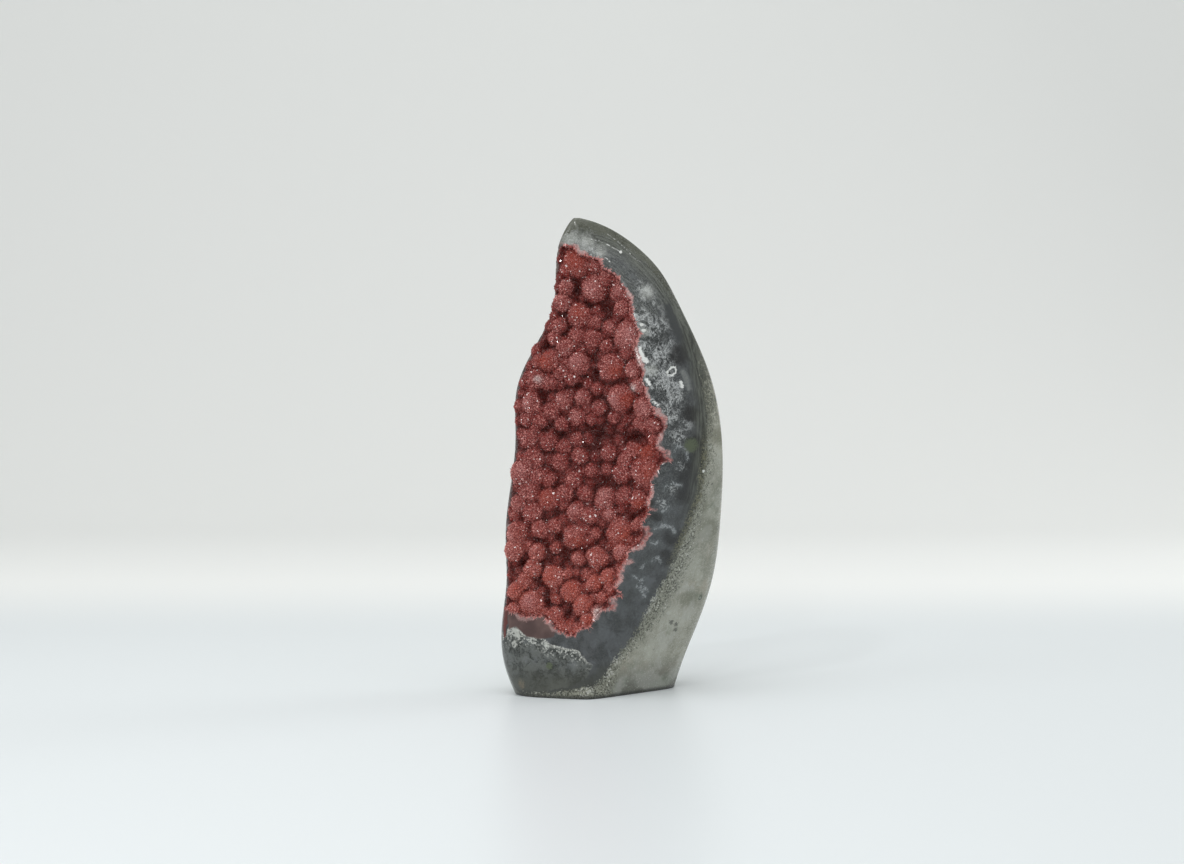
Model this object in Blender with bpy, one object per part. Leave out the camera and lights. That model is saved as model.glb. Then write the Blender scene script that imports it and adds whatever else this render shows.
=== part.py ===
"""A standing druzy quartz specimen: a polished slab of geode wall, 180 mm tall, on a sawn base.

Two pieces. The polished matrix is one piece of basalt and agate. Its horizontal sections are
polygons with six rounded corners: back left, left rim, ridge, facet, right and back right. Their
places follow natural cubic splines up the stone. A shallow bed is sunk into the face between the
left rim and the ridge. The druzy crust fills that bed: one skin of fused round crystal lumps.

Lengths are in millimetres until a mesh is written. X runs along the front, Y away from the
viewer and Z up. Points of the face are named by their X and Z as seen from the front.
"""
import math
import random

import bmesh
import bpy
import numpy as np
from mathutils import Vector
from mathutils.geometry import delaunay_2d_cdt

MM = 0.001
HEIGHT = 180.0
GAP = 0.3

# The stone, station by station from the base to the tip.
# z, left rim, ridge, facet, right (X), ridge (Y), slope of the flank, back (Y),
# and how far each front corner's rounding reaches along its edges: left, ridge, facet, right.
STATIONS = np.array([
    (0.0, -39.1, -9.5, -3.5, 26.6, -1.2, 0.70, 50.0, 0.46, 0.32, 0.20, 0.25),
    (10.0, -42.6, -9.0, 4.5, 29.9, -0.5, 0.70, 53.0, 0.36, 0.26, 0.14, 0.25),
    (24.0, -43.4, -5.0, 15.0, 35.4, 0.5, 0.70, 57.0, 0.24, 0.22, 0.12, 0.25),
    (42.0, -41.1, 2.5, 22.5, 41.6, 1.0, 0.70, 61.0, 0.16, 0.18, 0.14, 0.28),
    (60.0, -41.5, 11.0, 28.0, 44.0, 1.0, 0.70, 62.0, 0.15, 0.16, 0.18, 0.30),
    (78.0, -39.7, 18.0, 35.5, 44.0, 1.0, 0.70, 62.0, 0.15, 0.16, 0.22, 0.32),
    (96.0, -37.7, 19.5, 38.0, 43.2, 1.0, 0.70, 60.0, 0.15, 0.16, 0.26, 0.34),
    (115.0, -37.2, 14.5, 36.0, 40.3, 2.0, 0.70, 56.0, 0.16, 0.17, 0.28, 0.36),
    (133.0, -29.2, 11.5, 30.6, 33.3, 3.5, 0.70, 50.0, 0.18, 0.18, 0.30, 0.38),
    (148.0, -22.8, 9.0, 23.9, 25.8, 6.0, 0.66, 43.0, 0.20, 0.20, 0.32, 0.40),
    (160.0, -22.1, 3.5, 17.2, 19.0, 9.0, 0.58, 37.0, 0.24, 0.24, 0.34, 0.40),
    (169.0, -21.1, -6.0, 9.0, 10.5, 12.0, 0.50, 31.5, 0.30, 0.30, 0.36, 0.42),
    (175.5, -18.3, -11.0, -0.2, 1.0, 14.0, 0.42, 27.0, 0.38, 0.38, 0.40, 0.45),
    (179.0, -15.7, -13.0, -8.4, -7.6, 15.5, 0.36, 23.0, 0.45, 0.45, 0.45, 0.45),
    (HEIGHT, -14.5, -13.4, -12.2, -11.8, 16.2, 0.30, 20.5, 0.48, 0.48, 0.48, 0.48),
])
FACE_SLOPE = 0.34
OUTER_SLOPE = 1.0
BACK_ROUNDING = 0.45
# The two back corners: how far in they stand, as shares of the width, and how far back the left is.
BACK_LEFT_IN, BACK_LEFT_DEEP = 0.1, 0.7
BACK_RIGHT_IN = 0.2
CORNERS = 6
EDGE_LENGTHS = np.array([34.0, 50.0, 24.0, 12.0, 36.0, 56.0])
EDGE_FRACTIONS = (0.0, 0.08, 0.16, 0.33, 0.5, 0.67, 0.84, 0.92)
ROWS = 36
EDGE_CLEAR = 1.3

# The druzy face's edge from its top to its lower left, where the teeth of cut crystals show.
DRUZY_EDGE = [
    (-18.5, 170.5), (-14.0, 169.8), (-11.5, 166.5), (-5.0, 165.2), (-2.8, 161.3), (1.7, 159.5),
    (5.0, 154.5), (8.4, 148.0), (9.2, 142.5), (12.0, 136.5), (9.6, 130.5), (13.5, 122.0),
    (12.6, 118.5), (16.0, 109.6), (20.4, 103.5), (20.6, 100.0), (17.8, 94.5), (22.4, 89.0),
    (18.2, 84.8), (15.2, 81.2), (16.3, 76.6), (14.0, 73.6), (16.4, 70.9), (12.6, 65.8),
    (14.7, 61.5), (12.3, 57.5), (7.0, 54.8), (7.8, 51.6), (4.8, 48.5), (2.4, 42.0), (4.1, 38.0),
    (0.4, 36.8), (0.8, 32.9), (-3.6, 32.0), (-7.4, 26.5), (-11.9, 25.0), (-16.0, 22.7),
    (-21.0, 24.8), (-26.0, 29.5), (-32.3, 28.7), (-36.8, 30.5),
]
LEFT_RIM = 1.3
LEFT_EDGE_STEPS = 24
BED_EDGE = 3.6
BED_DEPTH = 9.5
BED_SLOPE_WIDTH = 11.0
LEAST_THICKNESS = 1.2
FLOOR_GRID = 6.0
FLOOR_CLEAR = 2.2

# The biggest lumps: X, Z and radius. Seeded smaller ones fill the space between them.
MAIN_LUMPS = [
    (-16.0, 164.0, 5.2), (-2.5, 157.5, 4.0), (-8.0, 152.5, 4.7), (2.0, 151.0, 4.0),
    (-12.5, 143.5, 4.8), (4.0, 145.0, 4.2), (5.5, 136.0, 5.2), (-19.5, 149.0, 3.8),
    (-12.0, 132.5, 4.0), (-14.5, 125.0, 4.7), (-25.5, 126.0, 4.2), (-1.0, 123.5, 5.7),
    (-30.0, 117.5, 4.2), (-33.0, 108.5, 4.4), (-20.0, 110.5, 5.0), (3.5, 112.5, 5.3),
    (13.0, 107.5, 4.2), (-8.0, 105.5, 4.5), (-32.5, 97.0, 4.2), (-24.0, 94.0, 5.0),
    (12.0, 99.5, 4.2), (10.0, 91.0, 5.7), (12.0, 83.0, 4.6), (-4.0, 74.5, 5.2),
    (5.5, 74.5, 4.3), (-33.6, 81.5, 5.2), (-20.0, 87.5, 4.4), (-9.5, 84.0, 4.3),
    (-26.3, 73.5, 4.3), (-33.8, 67.0, 4.6), (4.5, 63.0, 5.2), (-16.0, 59.5, 5.0),
    (-5.5, 53.5, 5.0), (-35.5, 58.0, 4.3), (-27.0, 62.5, 4.2), (-27.5, 53.5, 4.2),
    (-21.0, 45.0, 4.7), (-5.0, 44.0, 4.7), (-36.0, 41.0, 4.7), (-30.5, 35.0, 4.5),
    (-17.5, 37.0, 4.3), (-11.5, 33.5, 5.0), (-14.5, 67.5, 4.2), (-34.5, 49.5, 4.0),
]
FILL_TRIES = 1400
FILL_RADII = (2.6, 3.6)
FILL_CROWDING = 0.86
LUMP_SWELL = 1.12
LUMP_RISE = 0.4
LEVEL_LEFT = 1.4
LEVEL_SAG = 2.8
LEVEL_FALL = 1.6
# A slow wave of the lumps' tops: its height, then its rate per mm and its start along X and Z.
LEVEL_WAVE = 0.8
WAVE_X = (0.11, 0.9)
WAVE_Z = (0.075, 0.4)
# At its edge the crust starts a little under the face, and rises and falls no steeper than this.
EDGE_DROP = 0.3
EDGE_FALL = 1.3
EDGE_RISE = 0.9
LEAN_WIDTH = 3.0
# The mesh's points: rings round each lump, as shares of its radius, and how these are turned.
LUMP_RINGS = (0.42, 0.78)
LUMP_TURN = 1.7
RING_TURN = 3.0
POINT_SPACING = 1.1
CENTRE_CLEAR = 1.4
POINT_CLEAR = 1.2
SEED = 11

# Colours as linear red, green and blue, and roughness.
BASALT = ((0.23, 0.24, 0.21), 0.16)
QUARTZ = ((0.24, 0.055, 0.04), 0.3)
SHARP_ANGLE = 30


def spline(knots, rows, places):
    """A natural cubic spline through the rows, read at each place along the knots."""
    gaps = np.diff(knots)
    size = len(knots)
    system = np.eye(size)
    bends = np.zeros_like(rows)
    for i in range(1, size - 1):
        system[i, i - 1:i + 2] = gaps[i - 1], 2 * (gaps[i - 1] + gaps[i]), gaps[i]
        bends[i] = 6 * ((rows[i + 1] - rows[i]) / gaps[i] - (rows[i] - rows[i - 1]) / gaps[i - 1])
    curvature = np.linalg.solve(system, bends)
    cell = np.clip(np.searchsorted(knots, places) - 1, 0, size - 2)
    gap = gaps[cell][:, None]
    after = (places - knots[cell])[:, None] / gap
    before = 1 - after
    bow = (before ** 3 - before) * curvature[cell] + (after ** 3 - after) * curvature[cell + 1]
    return before * rows[cell] + after * rows[cell + 1] + bow * gap ** 2 / 6


STEPS = np.diff(STATIONS[:, (0, 1, 4)], axis=0)
KNOTS = np.concatenate([[0.0], np.cumsum(np.sqrt((STEPS ** 2).sum(axis=1)))])
RUN_TABLE = np.linspace(0.0, KNOTS[-1], 2000)
HEIGHT_TABLE = spline(KNOTS, STATIONS, RUN_TABLE)[:, 0]


def run_at(z):
    """The place along the stations, in mm of run, where the stone reaches this height."""
    return np.interp(z, HEIGHT_TABLE, RUN_TABLE)


def section(run):
    """The unrounded corners (n, 6, 2), their rounding (n, 6) and the height (n) at each run."""
    z, left, ridge, facet, right, front, flank, back, *rounding = spline(KNOTS, STATIONS, run).T
    width = right - left
    left_y = front + FACE_SLOPE * (ridge - left)
    facet_y = front + flank * (facet - ridge)
    right_y = facet_y + OUTER_SLOPE * (right - facet)
    corners = np.stack([
        np.stack([left + BACK_LEFT_IN * width, left_y + BACK_LEFT_DEEP * (back - left_y)], axis=1),
        np.stack([left, left_y], axis=1),
        np.stack([ridge, front], axis=1),
        np.stack([facet, facet_y], axis=1),
        np.stack([right, right_y], axis=1),
        np.stack([right - BACK_RIGHT_IN * width, back], axis=1),
    ], axis=1)
    soft = np.full_like(z, BACK_ROUNDING)
    return corners, np.stack([soft, *rounding, soft], axis=1), z


def surface(turn, run):
    """Points of the polished surface. A turn of 1.25 is a quarter of the way from corner 1 to 2."""
    turn, run = np.broadcast_arrays(np.asarray(turn, float), np.asarray(run, float))
    corners, rounding, z = section(run)
    each = np.arange(len(run))
    edge = np.floor(turn).astype(int) % CORNERS
    part = (turn - np.floor(turn))[:, None]
    following = (edge + 1) % CORNERS
    along = np.roll(corners, -1, axis=1) - corners
    start, end = corners[each, edge], corners[each, following]
    reach_start = rounding[each, edge][:, None]
    reach_end = rounding[each, following][:, None]
    before, here = along[each, edge - 1], along[each, edge]
    after = along[each, following]
    leave = 0.5 + 0.5 * part / reach_start
    arrive = 0.5 * (part - 1 + reach_end) / reach_end
    leaving = start - (1 - leave) ** 2 * reach_start * before + leave ** 2 * reach_start * here
    arriving = end - (1 - arrive) ** 2 * reach_end * here + arrive ** 2 * reach_end * after
    flat = np.where(part < reach_start, leaving, start + part * here)
    flat = np.where(part > 1 - reach_end, arriving, flat)
    return np.column_stack([flat, z])


def normals(turn, run, step=0.02):
    """Outward unit normals of the polished surface."""
    around = surface(turn + step / 20, run) - surface(turn - step / 20, run)
    low, high = np.maximum(run - step, 0.0), np.minimum(run + step, KNOTS[-1])
    up = surface(turn, high) - surface(turn, low)
    across = np.cross(around, up)
    return across / np.linalg.norm(across, axis=1)[:, None]


def face_place(points):
    """The turn and run of points of the face, given as X and Z seen from the front."""
    run = run_at(points[:, 1])
    corners = section(run)[0]
    left, ridge, facet = corners[:, 1, 0], corners[:, 2, 0], corners[:, 3, 0]
    x = points[:, 0]
    on_face = 1 + (x - left) / (ridge - left)
    on_flank = 2 + (x - ridge) / (facet - ridge)
    return np.where(x < ridge, on_face, on_flank), run


def inside(points, loop):
    """Whether each point lies inside the closed loop."""
    x, y = points[:, 0][:, None], points[:, 1][:, None]
    ax, ay = loop[:, 0], loop[:, 1]
    bx, by = np.roll(ax, -1), np.roll(ay, -1)
    crosses = (ay > y) != (by > y)
    rise = np.where(by == ay, 1.0, by - ay)
    return (crosses & (x < ax + (y - ay) * (bx - ax) / rise)).sum(axis=1) % 2 == 1


def distance(points, loop):
    """Each point's distance to the closed loop."""
    start, side = loop, np.roll(loop, -1, axis=0) - loop
    offset = points[:, None, :] - start
    part = np.clip((offset * side).sum(axis=2) / (side ** 2).sum(axis=1), 0.0, 1.0)
    return np.linalg.norm(offset - part[..., None] * side, axis=2).min(axis=1)


def inset(loop, amount):
    """The clockwise loop moved inwards by the amount."""
    back, ahead = np.roll(loop, 1, axis=0), np.roll(loop, -1, axis=0)
    first = (loop - back) / np.linalg.norm(loop - back, axis=1)[:, None]
    second = (ahead - loop) / np.linalg.norm(ahead - loop, axis=1)[:, None]
    inward = np.column_stack([first[:, 1] + second[:, 1], -first[:, 0] - second[:, 0]])
    length = np.linalg.norm(inward, axis=1)[:, None]
    return loop + amount * inward / np.maximum(length, 1.0) * 2 / np.maximum(length, 1.0)


def druzy_outline():
    """The clockwise edge of the druzy face: the toothed side, then up along the left rim."""
    right_side = np.array(DRUZY_EDGE)
    low, high = right_side[-1, 1], right_side[0, 1]
    z = np.linspace(low, high, LEFT_EDGE_STEPS + 1)[1:-1]
    left = section(run_at(z))[0][:, 1, 0]
    return np.vstack([right_side, np.column_stack([left + LEFT_RIM, z])])


def bed_depth(points, outline):
    """How far the bed lies under the polished face: shallow at its edge, deep in the middle."""
    reach = np.clip(distance(points, outline) / BED_SLOPE_WIDTH, 0.0, 1.0)
    return BED_EDGE + (BED_DEPTH - BED_EDGE) * reach * reach * (3 - 2 * reach)


def lumps(outline):
    """All the crust's lumps as X, Z and radius: the main ones, then seeded ones between them."""
    chance = random.Random(SEED)
    placed = list(MAIN_LUMPS)
    low, high = outline.min(axis=0), outline.max(axis=0)
    for attempt in range(FILL_TRIES):
        x, z = chance.uniform(low[0], high[0]), chance.uniform(low[1], high[1])
        fade = attempt / FILL_TRIES
        radius = FILL_RADII[1] + (FILL_RADII[0] - FILL_RADII[1]) * fade
        clear = all(math.hypot(x - a, z - b) > FILL_CROWDING * (radius + c) for a, b, c in placed)
        if clear and inside(np.array([(x, z)]), outline)[0]:
            placed.append((x, z, radius))
    return np.array(placed)


def crust_level(points):
    """Height of the lumps' tops over the polished face: sunk by the ridge, proud at the left."""
    run = run_at(points[:, 1])
    corners = section(run)[0]
    left, ridge = corners[:, 1, 0], corners[:, 2, 0]
    across = np.clip((points[:, 0] - left) / (ridge - left), 0.0, 1.2)
    wave_x = np.sin(WAVE_X[0] * points[:, 0] + WAVE_X[1])
    wave_z = np.sin(WAVE_Z[0] * points[:, 1] + WAVE_Z[1])
    sag = LEVEL_SAG * np.sin(math.pi * np.minimum(across, 1.0))
    return LEVEL_LEFT - sag - LEVEL_FALL * across + LEVEL_WAVE * wave_x * wave_z


def crust_height(points, all_lumps, outline):
    """Height of the crust's surface over the polished face at each point."""
    centres, radii = all_lumps[:, :2], all_lumps[:, 2]
    centres_3d = surface(*face_place(centres))
    points_3d = surface(*face_place(points))
    away = np.linalg.norm(points_3d[:, None, :] - centres_3d, axis=2)
    ball = LUMP_SWELL * radii
    drop = ball - np.sqrt(np.maximum(ball ** 2 - away ** 2, 0.0))
    tops = crust_level(centres) + LUMP_RISE * (radii - FILL_RADII[1])
    height = np.where(away < ball, tops - drop, -BED_DEPTH).max(axis=1)
    edge = distance(points, outline)
    lowest = np.maximum(LEAST_THICKNESS - bed_depth(points, outline), -EDGE_DROP - EDGE_FALL * edge)
    return np.clip(height, lowest, EDGE_RISE * edge - EDGE_DROP)


def triangles(points, loop_size):
    """Counter-clockwise triangles over the points, with the first loop_size of them a closed edge."""
    ring = [(i, (i + 1) % loop_size) for i in range(loop_size)]
    found = delaunay_2d_cdt([Vector(p) for p in points.tolist()], ring, [], 0, 1e-6)
    source = [ids[0] for ids in found[3]]
    faces = np.array([[source[i] for i in face] for face in found[2]])
    a, b, c = (points[faces[:, k]] for k in range(3))
    area = (b[:, 0] - a[:, 0]) * (c[:, 1] - a[:, 1]) - (c[:, 0] - a[:, 0]) * (b[:, 1] - a[:, 1])
    faces[area < 0] = faces[area < 0][:, ::-1]
    return faces[np.abs(area) > 1e-9]


def kept(points, others, least):
    """The points that lie further than the least distance from all the others and each other."""
    chosen = [tuple(p) for p in others]
    start = len(chosen)
    for x, z in points:
        if all((x - a) ** 2 + (z - b) ** 2 > least ** 2 for a, b in chosen):
            chosen.append((x, z))
    return np.array(chosen[start:])


def face_normal():
    """The direction in which the druzy face looks."""
    length = math.hypot(FACE_SLOPE, 1.0)
    return np.array([-FACE_SLOPE / length, -1.0 / length, 0.0])


def floor_mesh(outline):
    """The bed's floor as face points and triangles: the outline first, then an even grid."""
    low, high = outline.min(axis=0), outline.max(axis=0)
    across, up = (np.arange(low[axis], high[axis], FLOOR_GRID) for axis in (0, 1))
    grid = np.stack(np.meshgrid(across, up), axis=-1).reshape(-1, 2)
    grid = grid[inside(grid, outline)]
    points = np.vstack([outline, grid[distance(grid, outline) > FLOOR_CLEAR]])
    faces = triangles(points, len(outline))
    return points, faces[inside(points[faces].mean(axis=1), outline)]


def bed_points(points, outline, lift):
    """Points of the bed's floor, raised by the lift."""
    depth = bed_depth(points, outline) - lift
    return surface(*face_place(points)) - depth[:, None] * face_normal()


def wall(size, top, bottom):
    """Quads between two loops of the same size, whose first vertices have these numbers."""
    return [(top + i, top + (i + 1) % size, bottom + (i + 1) % size, bottom + i) for i in range(size)]


def matrix_mesh(outline):
    """The polished stone: its outside around the druzy edge, the bed's wall and floor, two caps."""
    size = len(outline)
    starts = np.concatenate([[0.0], np.cumsum(EDGE_LENGTHS)])
    turns = np.array([edge + t for edge in range(CORNERS) for t in EDGE_FRACTIONS] + [CORNERS])
    rows = np.linspace(0.0, KNOTS[-1], ROWS)
    turn, run = (a.ravel() for a in np.meshgrid(turns, rows))
    loop_turn, loop_run = face_place(outline)
    sheet = np.column_stack([np.interp(turn, range(CORNERS + 1), starts), run])
    loop = np.column_stack([np.interp(loop_turn, range(CORNERS + 1), starts), loop_run])
    free = ~inside(sheet, loop) & (distance(sheet, loop) > EDGE_CLEAR)
    turn, run = np.concatenate([loop_turn, turn[free]]), np.concatenate([loop_run, run[free]])
    sheet = np.vstack([loop, sheet[free]])
    faces = triangles(sheet, size)
    faces = faces[~inside(sheet[faces].mean(axis=1), loop)]
    seam_left = np.flatnonzero(turn == 0.0)
    seam_right = np.flatnonzero(turn == CORNERS)
    welded = np.arange(len(turn))
    welded[seam_right] = seam_left
    floor, floor_faces = floor_mesh(outline)
    first = len(turn)
    points = np.vstack([surface(turn, run), bed_points(floor, outline, 0.0)])
    polygons = welded[faces].tolist() + (floor_faces + first).tolist() + wall(size, 0, first)
    for level in (0.0, KNOTS[-1]):
        polygons.append([int(i) for i in np.flatnonzero(run == level) if turn[i] < CORNERS])
    return points, polygons


def crust_mesh(outline):
    """The crust: a front of fused lumps, a back that follows the bed, and the wall between them."""
    size = len(outline)
    all_lumps = lumps(outline)
    edge = inset(outline, GAP)
    centres, radii = all_lumps[:, :2], all_lumps[:, 2]
    rings = []
    for ring in LUMP_RINGS:
        for sixth in range(6):
            angle = math.radians(60 * sixth) + LUMP_TURN * np.arange(len(radii)) + RING_TURN * ring
            around = np.column_stack([np.cos(angle), np.sin(angle)])
            rings.append(centres + ring * radii[:, None] * around)
    neighbours = triangles(centres, 0)
    weights = 1 / radii[neighbours]
    hollows = (centres[neighbours] * weights[..., None]).sum(axis=1) / weights.sum(axis=1)[:, None]
    pairs = np.unique(np.sort(np.vstack([neighbours[:, (0, 1)], neighbours[:, (1, 2)]]), axis=1), axis=0)
    a, b = pairs[:, 0], pairs[:, 1]
    creases = centres[a] * radii[b, None] + centres[b] * radii[a, None]
    creases /= (radii[a] + radii[b])[:, None]
    inner = centres[(distance(centres, edge) > CENTRE_CLEAR) & inside(centres, edge)]
    more = np.vstack([hollows, creases, *rings])
    more = more[inside(more, edge) & (distance(more, edge) > POINT_CLEAR)]
    front = np.vstack([edge, inner, kept(more, inner, POINT_SPACING)])
    faces = triangles(front, size)
    faces = faces[inside(front[faces].mean(axis=1), edge)]
    turn, run = face_place(front)
    height = crust_height(front, all_lumps, outline)[:, None]
    lean = np.clip(distance(front, outline) / LEAN_WIDTH, 0.0, 1.0)[:, None]
    lift = lean * normals(turn, run) + (1 - lean) * face_normal()
    front_points = surface(turn, run) + height * lift
    floor, floor_faces = floor_mesh(outline)
    floor[:size] = edge
    first = len(front)
    points = np.vstack([front_points, bed_points(floor, outline, GAP)])
    polygons = faces.tolist() + (floor_faces[:, ::-1] + first).tolist() + wall(size, first, 0)
    return points, polygons


def make_material(name, colour, roughness):
    """A stone finish with the photographed colour."""
    material = bpy.data.materials.new(name)
    material.use_nodes = True
    shader = material.node_tree.nodes["Principled BSDF"]
    shader.inputs["Base Color"].default_value = (*colour, 1.0)
    shader.inputs["Roughness"].default_value = roughness
    material.diffuse_color = (*colour, 1.0)
    return material


def add_object(name, points, polygons, material):
    """One closed body, with its loose points dropped and its faces turned outwards."""
    mesh = bpy.data.meshes.new(name)
    mesh.from_pydata((points * MM).tolist(), [], polygons)
    body = bmesh.new()
    body.from_mesh(mesh)
    loose = [vertex for vertex in body.verts if not vertex.link_faces]
    bmesh.ops.delete(body, geom=loose, context="VERTS")
    bmesh.ops.recalc_face_normals(body, faces=body.faces)
    body.to_mesh(mesh)
    body.free()
    mesh.shade_smooth()
    mesh.set_sharp_from_angle(angle=math.radians(SHARP_ANGLE))
    mesh.materials.append(material)
    thing = bpy.data.objects.new(name, mesh)
    bpy.context.scene.collection.objects.link(thing)
    return thing


def main():
    for thing in list(bpy.data.objects):
        bpy.data.objects.remove(thing, do_unlink=True)
    outline = druzy_outline()
    matrix_points, matrix_faces = matrix_mesh(outline)
    crust_points, crust_faces = crust_mesh(outline)
    everything = np.vstack([matrix_points, crust_points])
    low, high = everything.min(axis=0), everything.max(axis=0)
    origin = np.array([(low[0] + high[0]) / 2, (low[1] + high[1]) / 2, 0.0])
    basalt = make_material("polished_basalt", *BASALT)
    quartz = make_material("red_druzy_quartz", *QUARTZ)
    add_object("polished_matrix", matrix_points - origin, matrix_faces, basalt)
    add_object("druzy_crust", crust_points - origin, crust_faces, quartz)


main()
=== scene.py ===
"""The looks of a standing druzy quartz specimen: a polished slab of geode wall on a sawn base.

The stone is one surface of two parameters. The turn runs round a horizontal section, whose six
corners are rounded by quadratic Bezier curves, and the run climbs the stone, where natural cubic
splines carry the corners. The druzy crust is a height over that surface: round lumps, each a ball
that stands out of the bed, with small bumps on them. Thousands of six-sided quartz points are
then set on the lumps, square to their surface.

Shapes are worked out in millimetres, in the stone's own frame, and written in metres.
"""
import math
import random

import bpy
import numpy as np
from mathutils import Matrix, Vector


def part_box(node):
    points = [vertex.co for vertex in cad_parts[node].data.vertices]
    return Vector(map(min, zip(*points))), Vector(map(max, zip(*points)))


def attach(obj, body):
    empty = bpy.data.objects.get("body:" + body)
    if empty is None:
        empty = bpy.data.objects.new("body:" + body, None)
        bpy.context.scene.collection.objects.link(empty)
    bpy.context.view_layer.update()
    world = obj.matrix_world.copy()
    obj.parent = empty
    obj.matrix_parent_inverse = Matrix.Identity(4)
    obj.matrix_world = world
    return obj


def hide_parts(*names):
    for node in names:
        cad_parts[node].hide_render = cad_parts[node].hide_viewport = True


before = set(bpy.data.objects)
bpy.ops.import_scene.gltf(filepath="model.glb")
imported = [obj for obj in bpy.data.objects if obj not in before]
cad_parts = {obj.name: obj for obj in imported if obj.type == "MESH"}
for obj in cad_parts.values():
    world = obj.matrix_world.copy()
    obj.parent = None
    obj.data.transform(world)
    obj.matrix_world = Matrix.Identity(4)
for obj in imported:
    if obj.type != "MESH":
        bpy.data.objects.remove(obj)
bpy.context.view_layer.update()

# The polished stone
# One natural piece: grey-green basalt outside, a band of speckled contact rock, and dark agate
# round the crystals. Ground and polished all round, and sawn flat underneath.

MM = 0.001
HEIGHT = 180.0

# z, left rim, ridge, facet, right (X), ridge (Y), slope of the flank, back (Y),
# and how far each front corner's rounding reaches along its edges: left, ridge, facet, right.
STATIONS = np.array([
    (0, -39.1, -9.5, -3.5, 26.6, -1.2, 0.7, 50, 0.46, 0.32, 0.2, 0.25),
    (10, -42.6, -9, 4.5, 29.9, -0.5, 0.7, 53, 0.36, 0.26, 0.14, 0.25),
    (24, -43.4, -5, 15, 35.4, 0.5, 0.7, 57, 0.24, 0.22, 0.12, 0.25),
    (42, -41.1, 2.5, 22.5, 41.6, 1, 0.7, 61, 0.16, 0.18, 0.14, 0.28),
    (60, -41.5, 11, 28, 44, 1, 0.7, 62, 0.15, 0.16, 0.18, 0.3),
    (78, -39.7, 18, 35.5, 44, 1, 0.7, 62, 0.15, 0.16, 0.22, 0.32),
    (96, -37.7, 19.5, 38, 43.2, 1, 0.7, 60, 0.15, 0.16, 0.26, 0.34),
    (115, -37.2, 14.5, 36, 40.3, 2, 0.7, 56, 0.16, 0.17, 0.28, 0.36),
    (133, -29.2, 11.5, 30.6, 33.3, 3.5, 0.7, 50, 0.18, 0.18, 0.3, 0.38),
    (148, -22.8, 9, 23.9, 25.8, 6, 0.66, 43, 0.2, 0.2, 0.32, 0.4),
    (160, -22.1, 3.5, 17.2, 19, 9, 0.58, 37, 0.24, 0.24, 0.34, 0.4),
    (169, -21.1, -6, 9, 10.5, 12, 0.5, 31.5, 0.3, 0.3, 0.36, 0.42),
    (175.5, -18.3, -11, -0.2, 1, 14, 0.42, 27, 0.38, 0.38, 0.4, 0.45),
    (179, -15.7, -13, -8.4, -7.6, 15.5, 0.36, 23, 0.45, 0.45, 0.45, 0.45),
    (HEIGHT, -14.5, -13.4, -12.2, -11.8, 16.2, 0.3, 20.5, 0.48, 0.48, 0.48, 0.48),
])
FACE_SLOPE = 0.34
OUTER_SLOPE = 1.0
BACK_ROUNDING = 0.45
CORNERS = 6

# Columns of the stone's grid on each edge of the section, and its rows up the stone.
EDGE_COLUMNS = (24, 96, 44, 24, 24, 28)
STONE_ROWS = 345
BASE_BEVEL = 0.45
SHARP_ANGLE = math.radians(35)

DRUZY_EDGE = [
    (-18.5, 170.5), (-14, 169.8), (-11.5, 166.5), (-5, 165.2), (-2.8, 161.3), (1.7, 159.5),
    (5, 154.5), (8.4, 148), (9.2, 142.5), (12, 136.5), (9.6, 130.5), (13.5, 122),
    (12.6, 118.5), (16, 109.6), (20.4, 103.5), (20.6, 100), (17.8, 94.5), (22.4, 89),
    (18.2, 84.8), (15.2, 81.2), (16.3, 76.6), (14, 73.6), (16.4, 70.9), (12.6, 65.8),
    (14.7, 61.5), (12.3, 57.5), (7, 54.8), (7.8, 51.6), (4.8, 48.5), (2.4, 42), (4.1, 38),
    (0.4, 36.8), (0.8, 32.9), (-3.6, 32), (-7.4, 26.5), (-11.9, 25), (-16, 22.7),
    (-21, 24.8), (-26, 29.5), (-32.3, 28.7), (-36.8, 30.5),
]
LEFT_EDGE_STEPS = 100
RIM_WRAP = 3.4
TOOTH_PIECES, TOOTH_AMOUNT = 4, 0.5
LONG_TOOTH, LONG_BELOW = 2.4, 112.0

# The bed is sunk into the face from just inside the druzy edge: its slope, how deep it may be at
# the left rim, how that grows to the right, and its most.
BED_START, BED_FALL, BED_RIM, BED_RISE, BED_MOST = 0.45, 1.9, 2.2, 0.5, 8.0

# The bands of rock on the face and flank, as X and Z seen from the front. Each loop runs
# clockwise, and closes out of sight past the left rim.
AGATE_EDGE = [
    (-60, 173.5), (-19, 174), (-12, 176), (-2, 173.5), (8, 168), (17, 159.5),
    (25, 148), (30, 138.5), (33.7, 126.5), (36, 111), (36.2, 96), (33.7, 74.5),
    (27.4, 59.4), (24, 51.5), (20.7, 45.4), (16.8, 38.8), (12.6, 31.3), (9.3, 23.8),
    (3, 16.5), (-0.8, 11.8), (-4.1, 6.3), (-8.6, 4.2), (-15.6, 2.8), (-23, 1.6), (-60, 1),
]
BASALT_EDGE = [
    (-60, 178), (-20, 178), (-13, 179.5), (0, 175.8), (11, 168.8), (20, 160),
    (28.5, 147), (33.5, 135), (36.8, 122), (38.4, 108), (38.2, 88), (36.4, 78),
    (34, 65.6), (30, 50.5), (24.5, 38.5), (19, 30.2), (12.5, 21.9), (7.6, 16.6),
    (2.7, 10.3), (-2.3, -4), (-60, -4),
]
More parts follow.
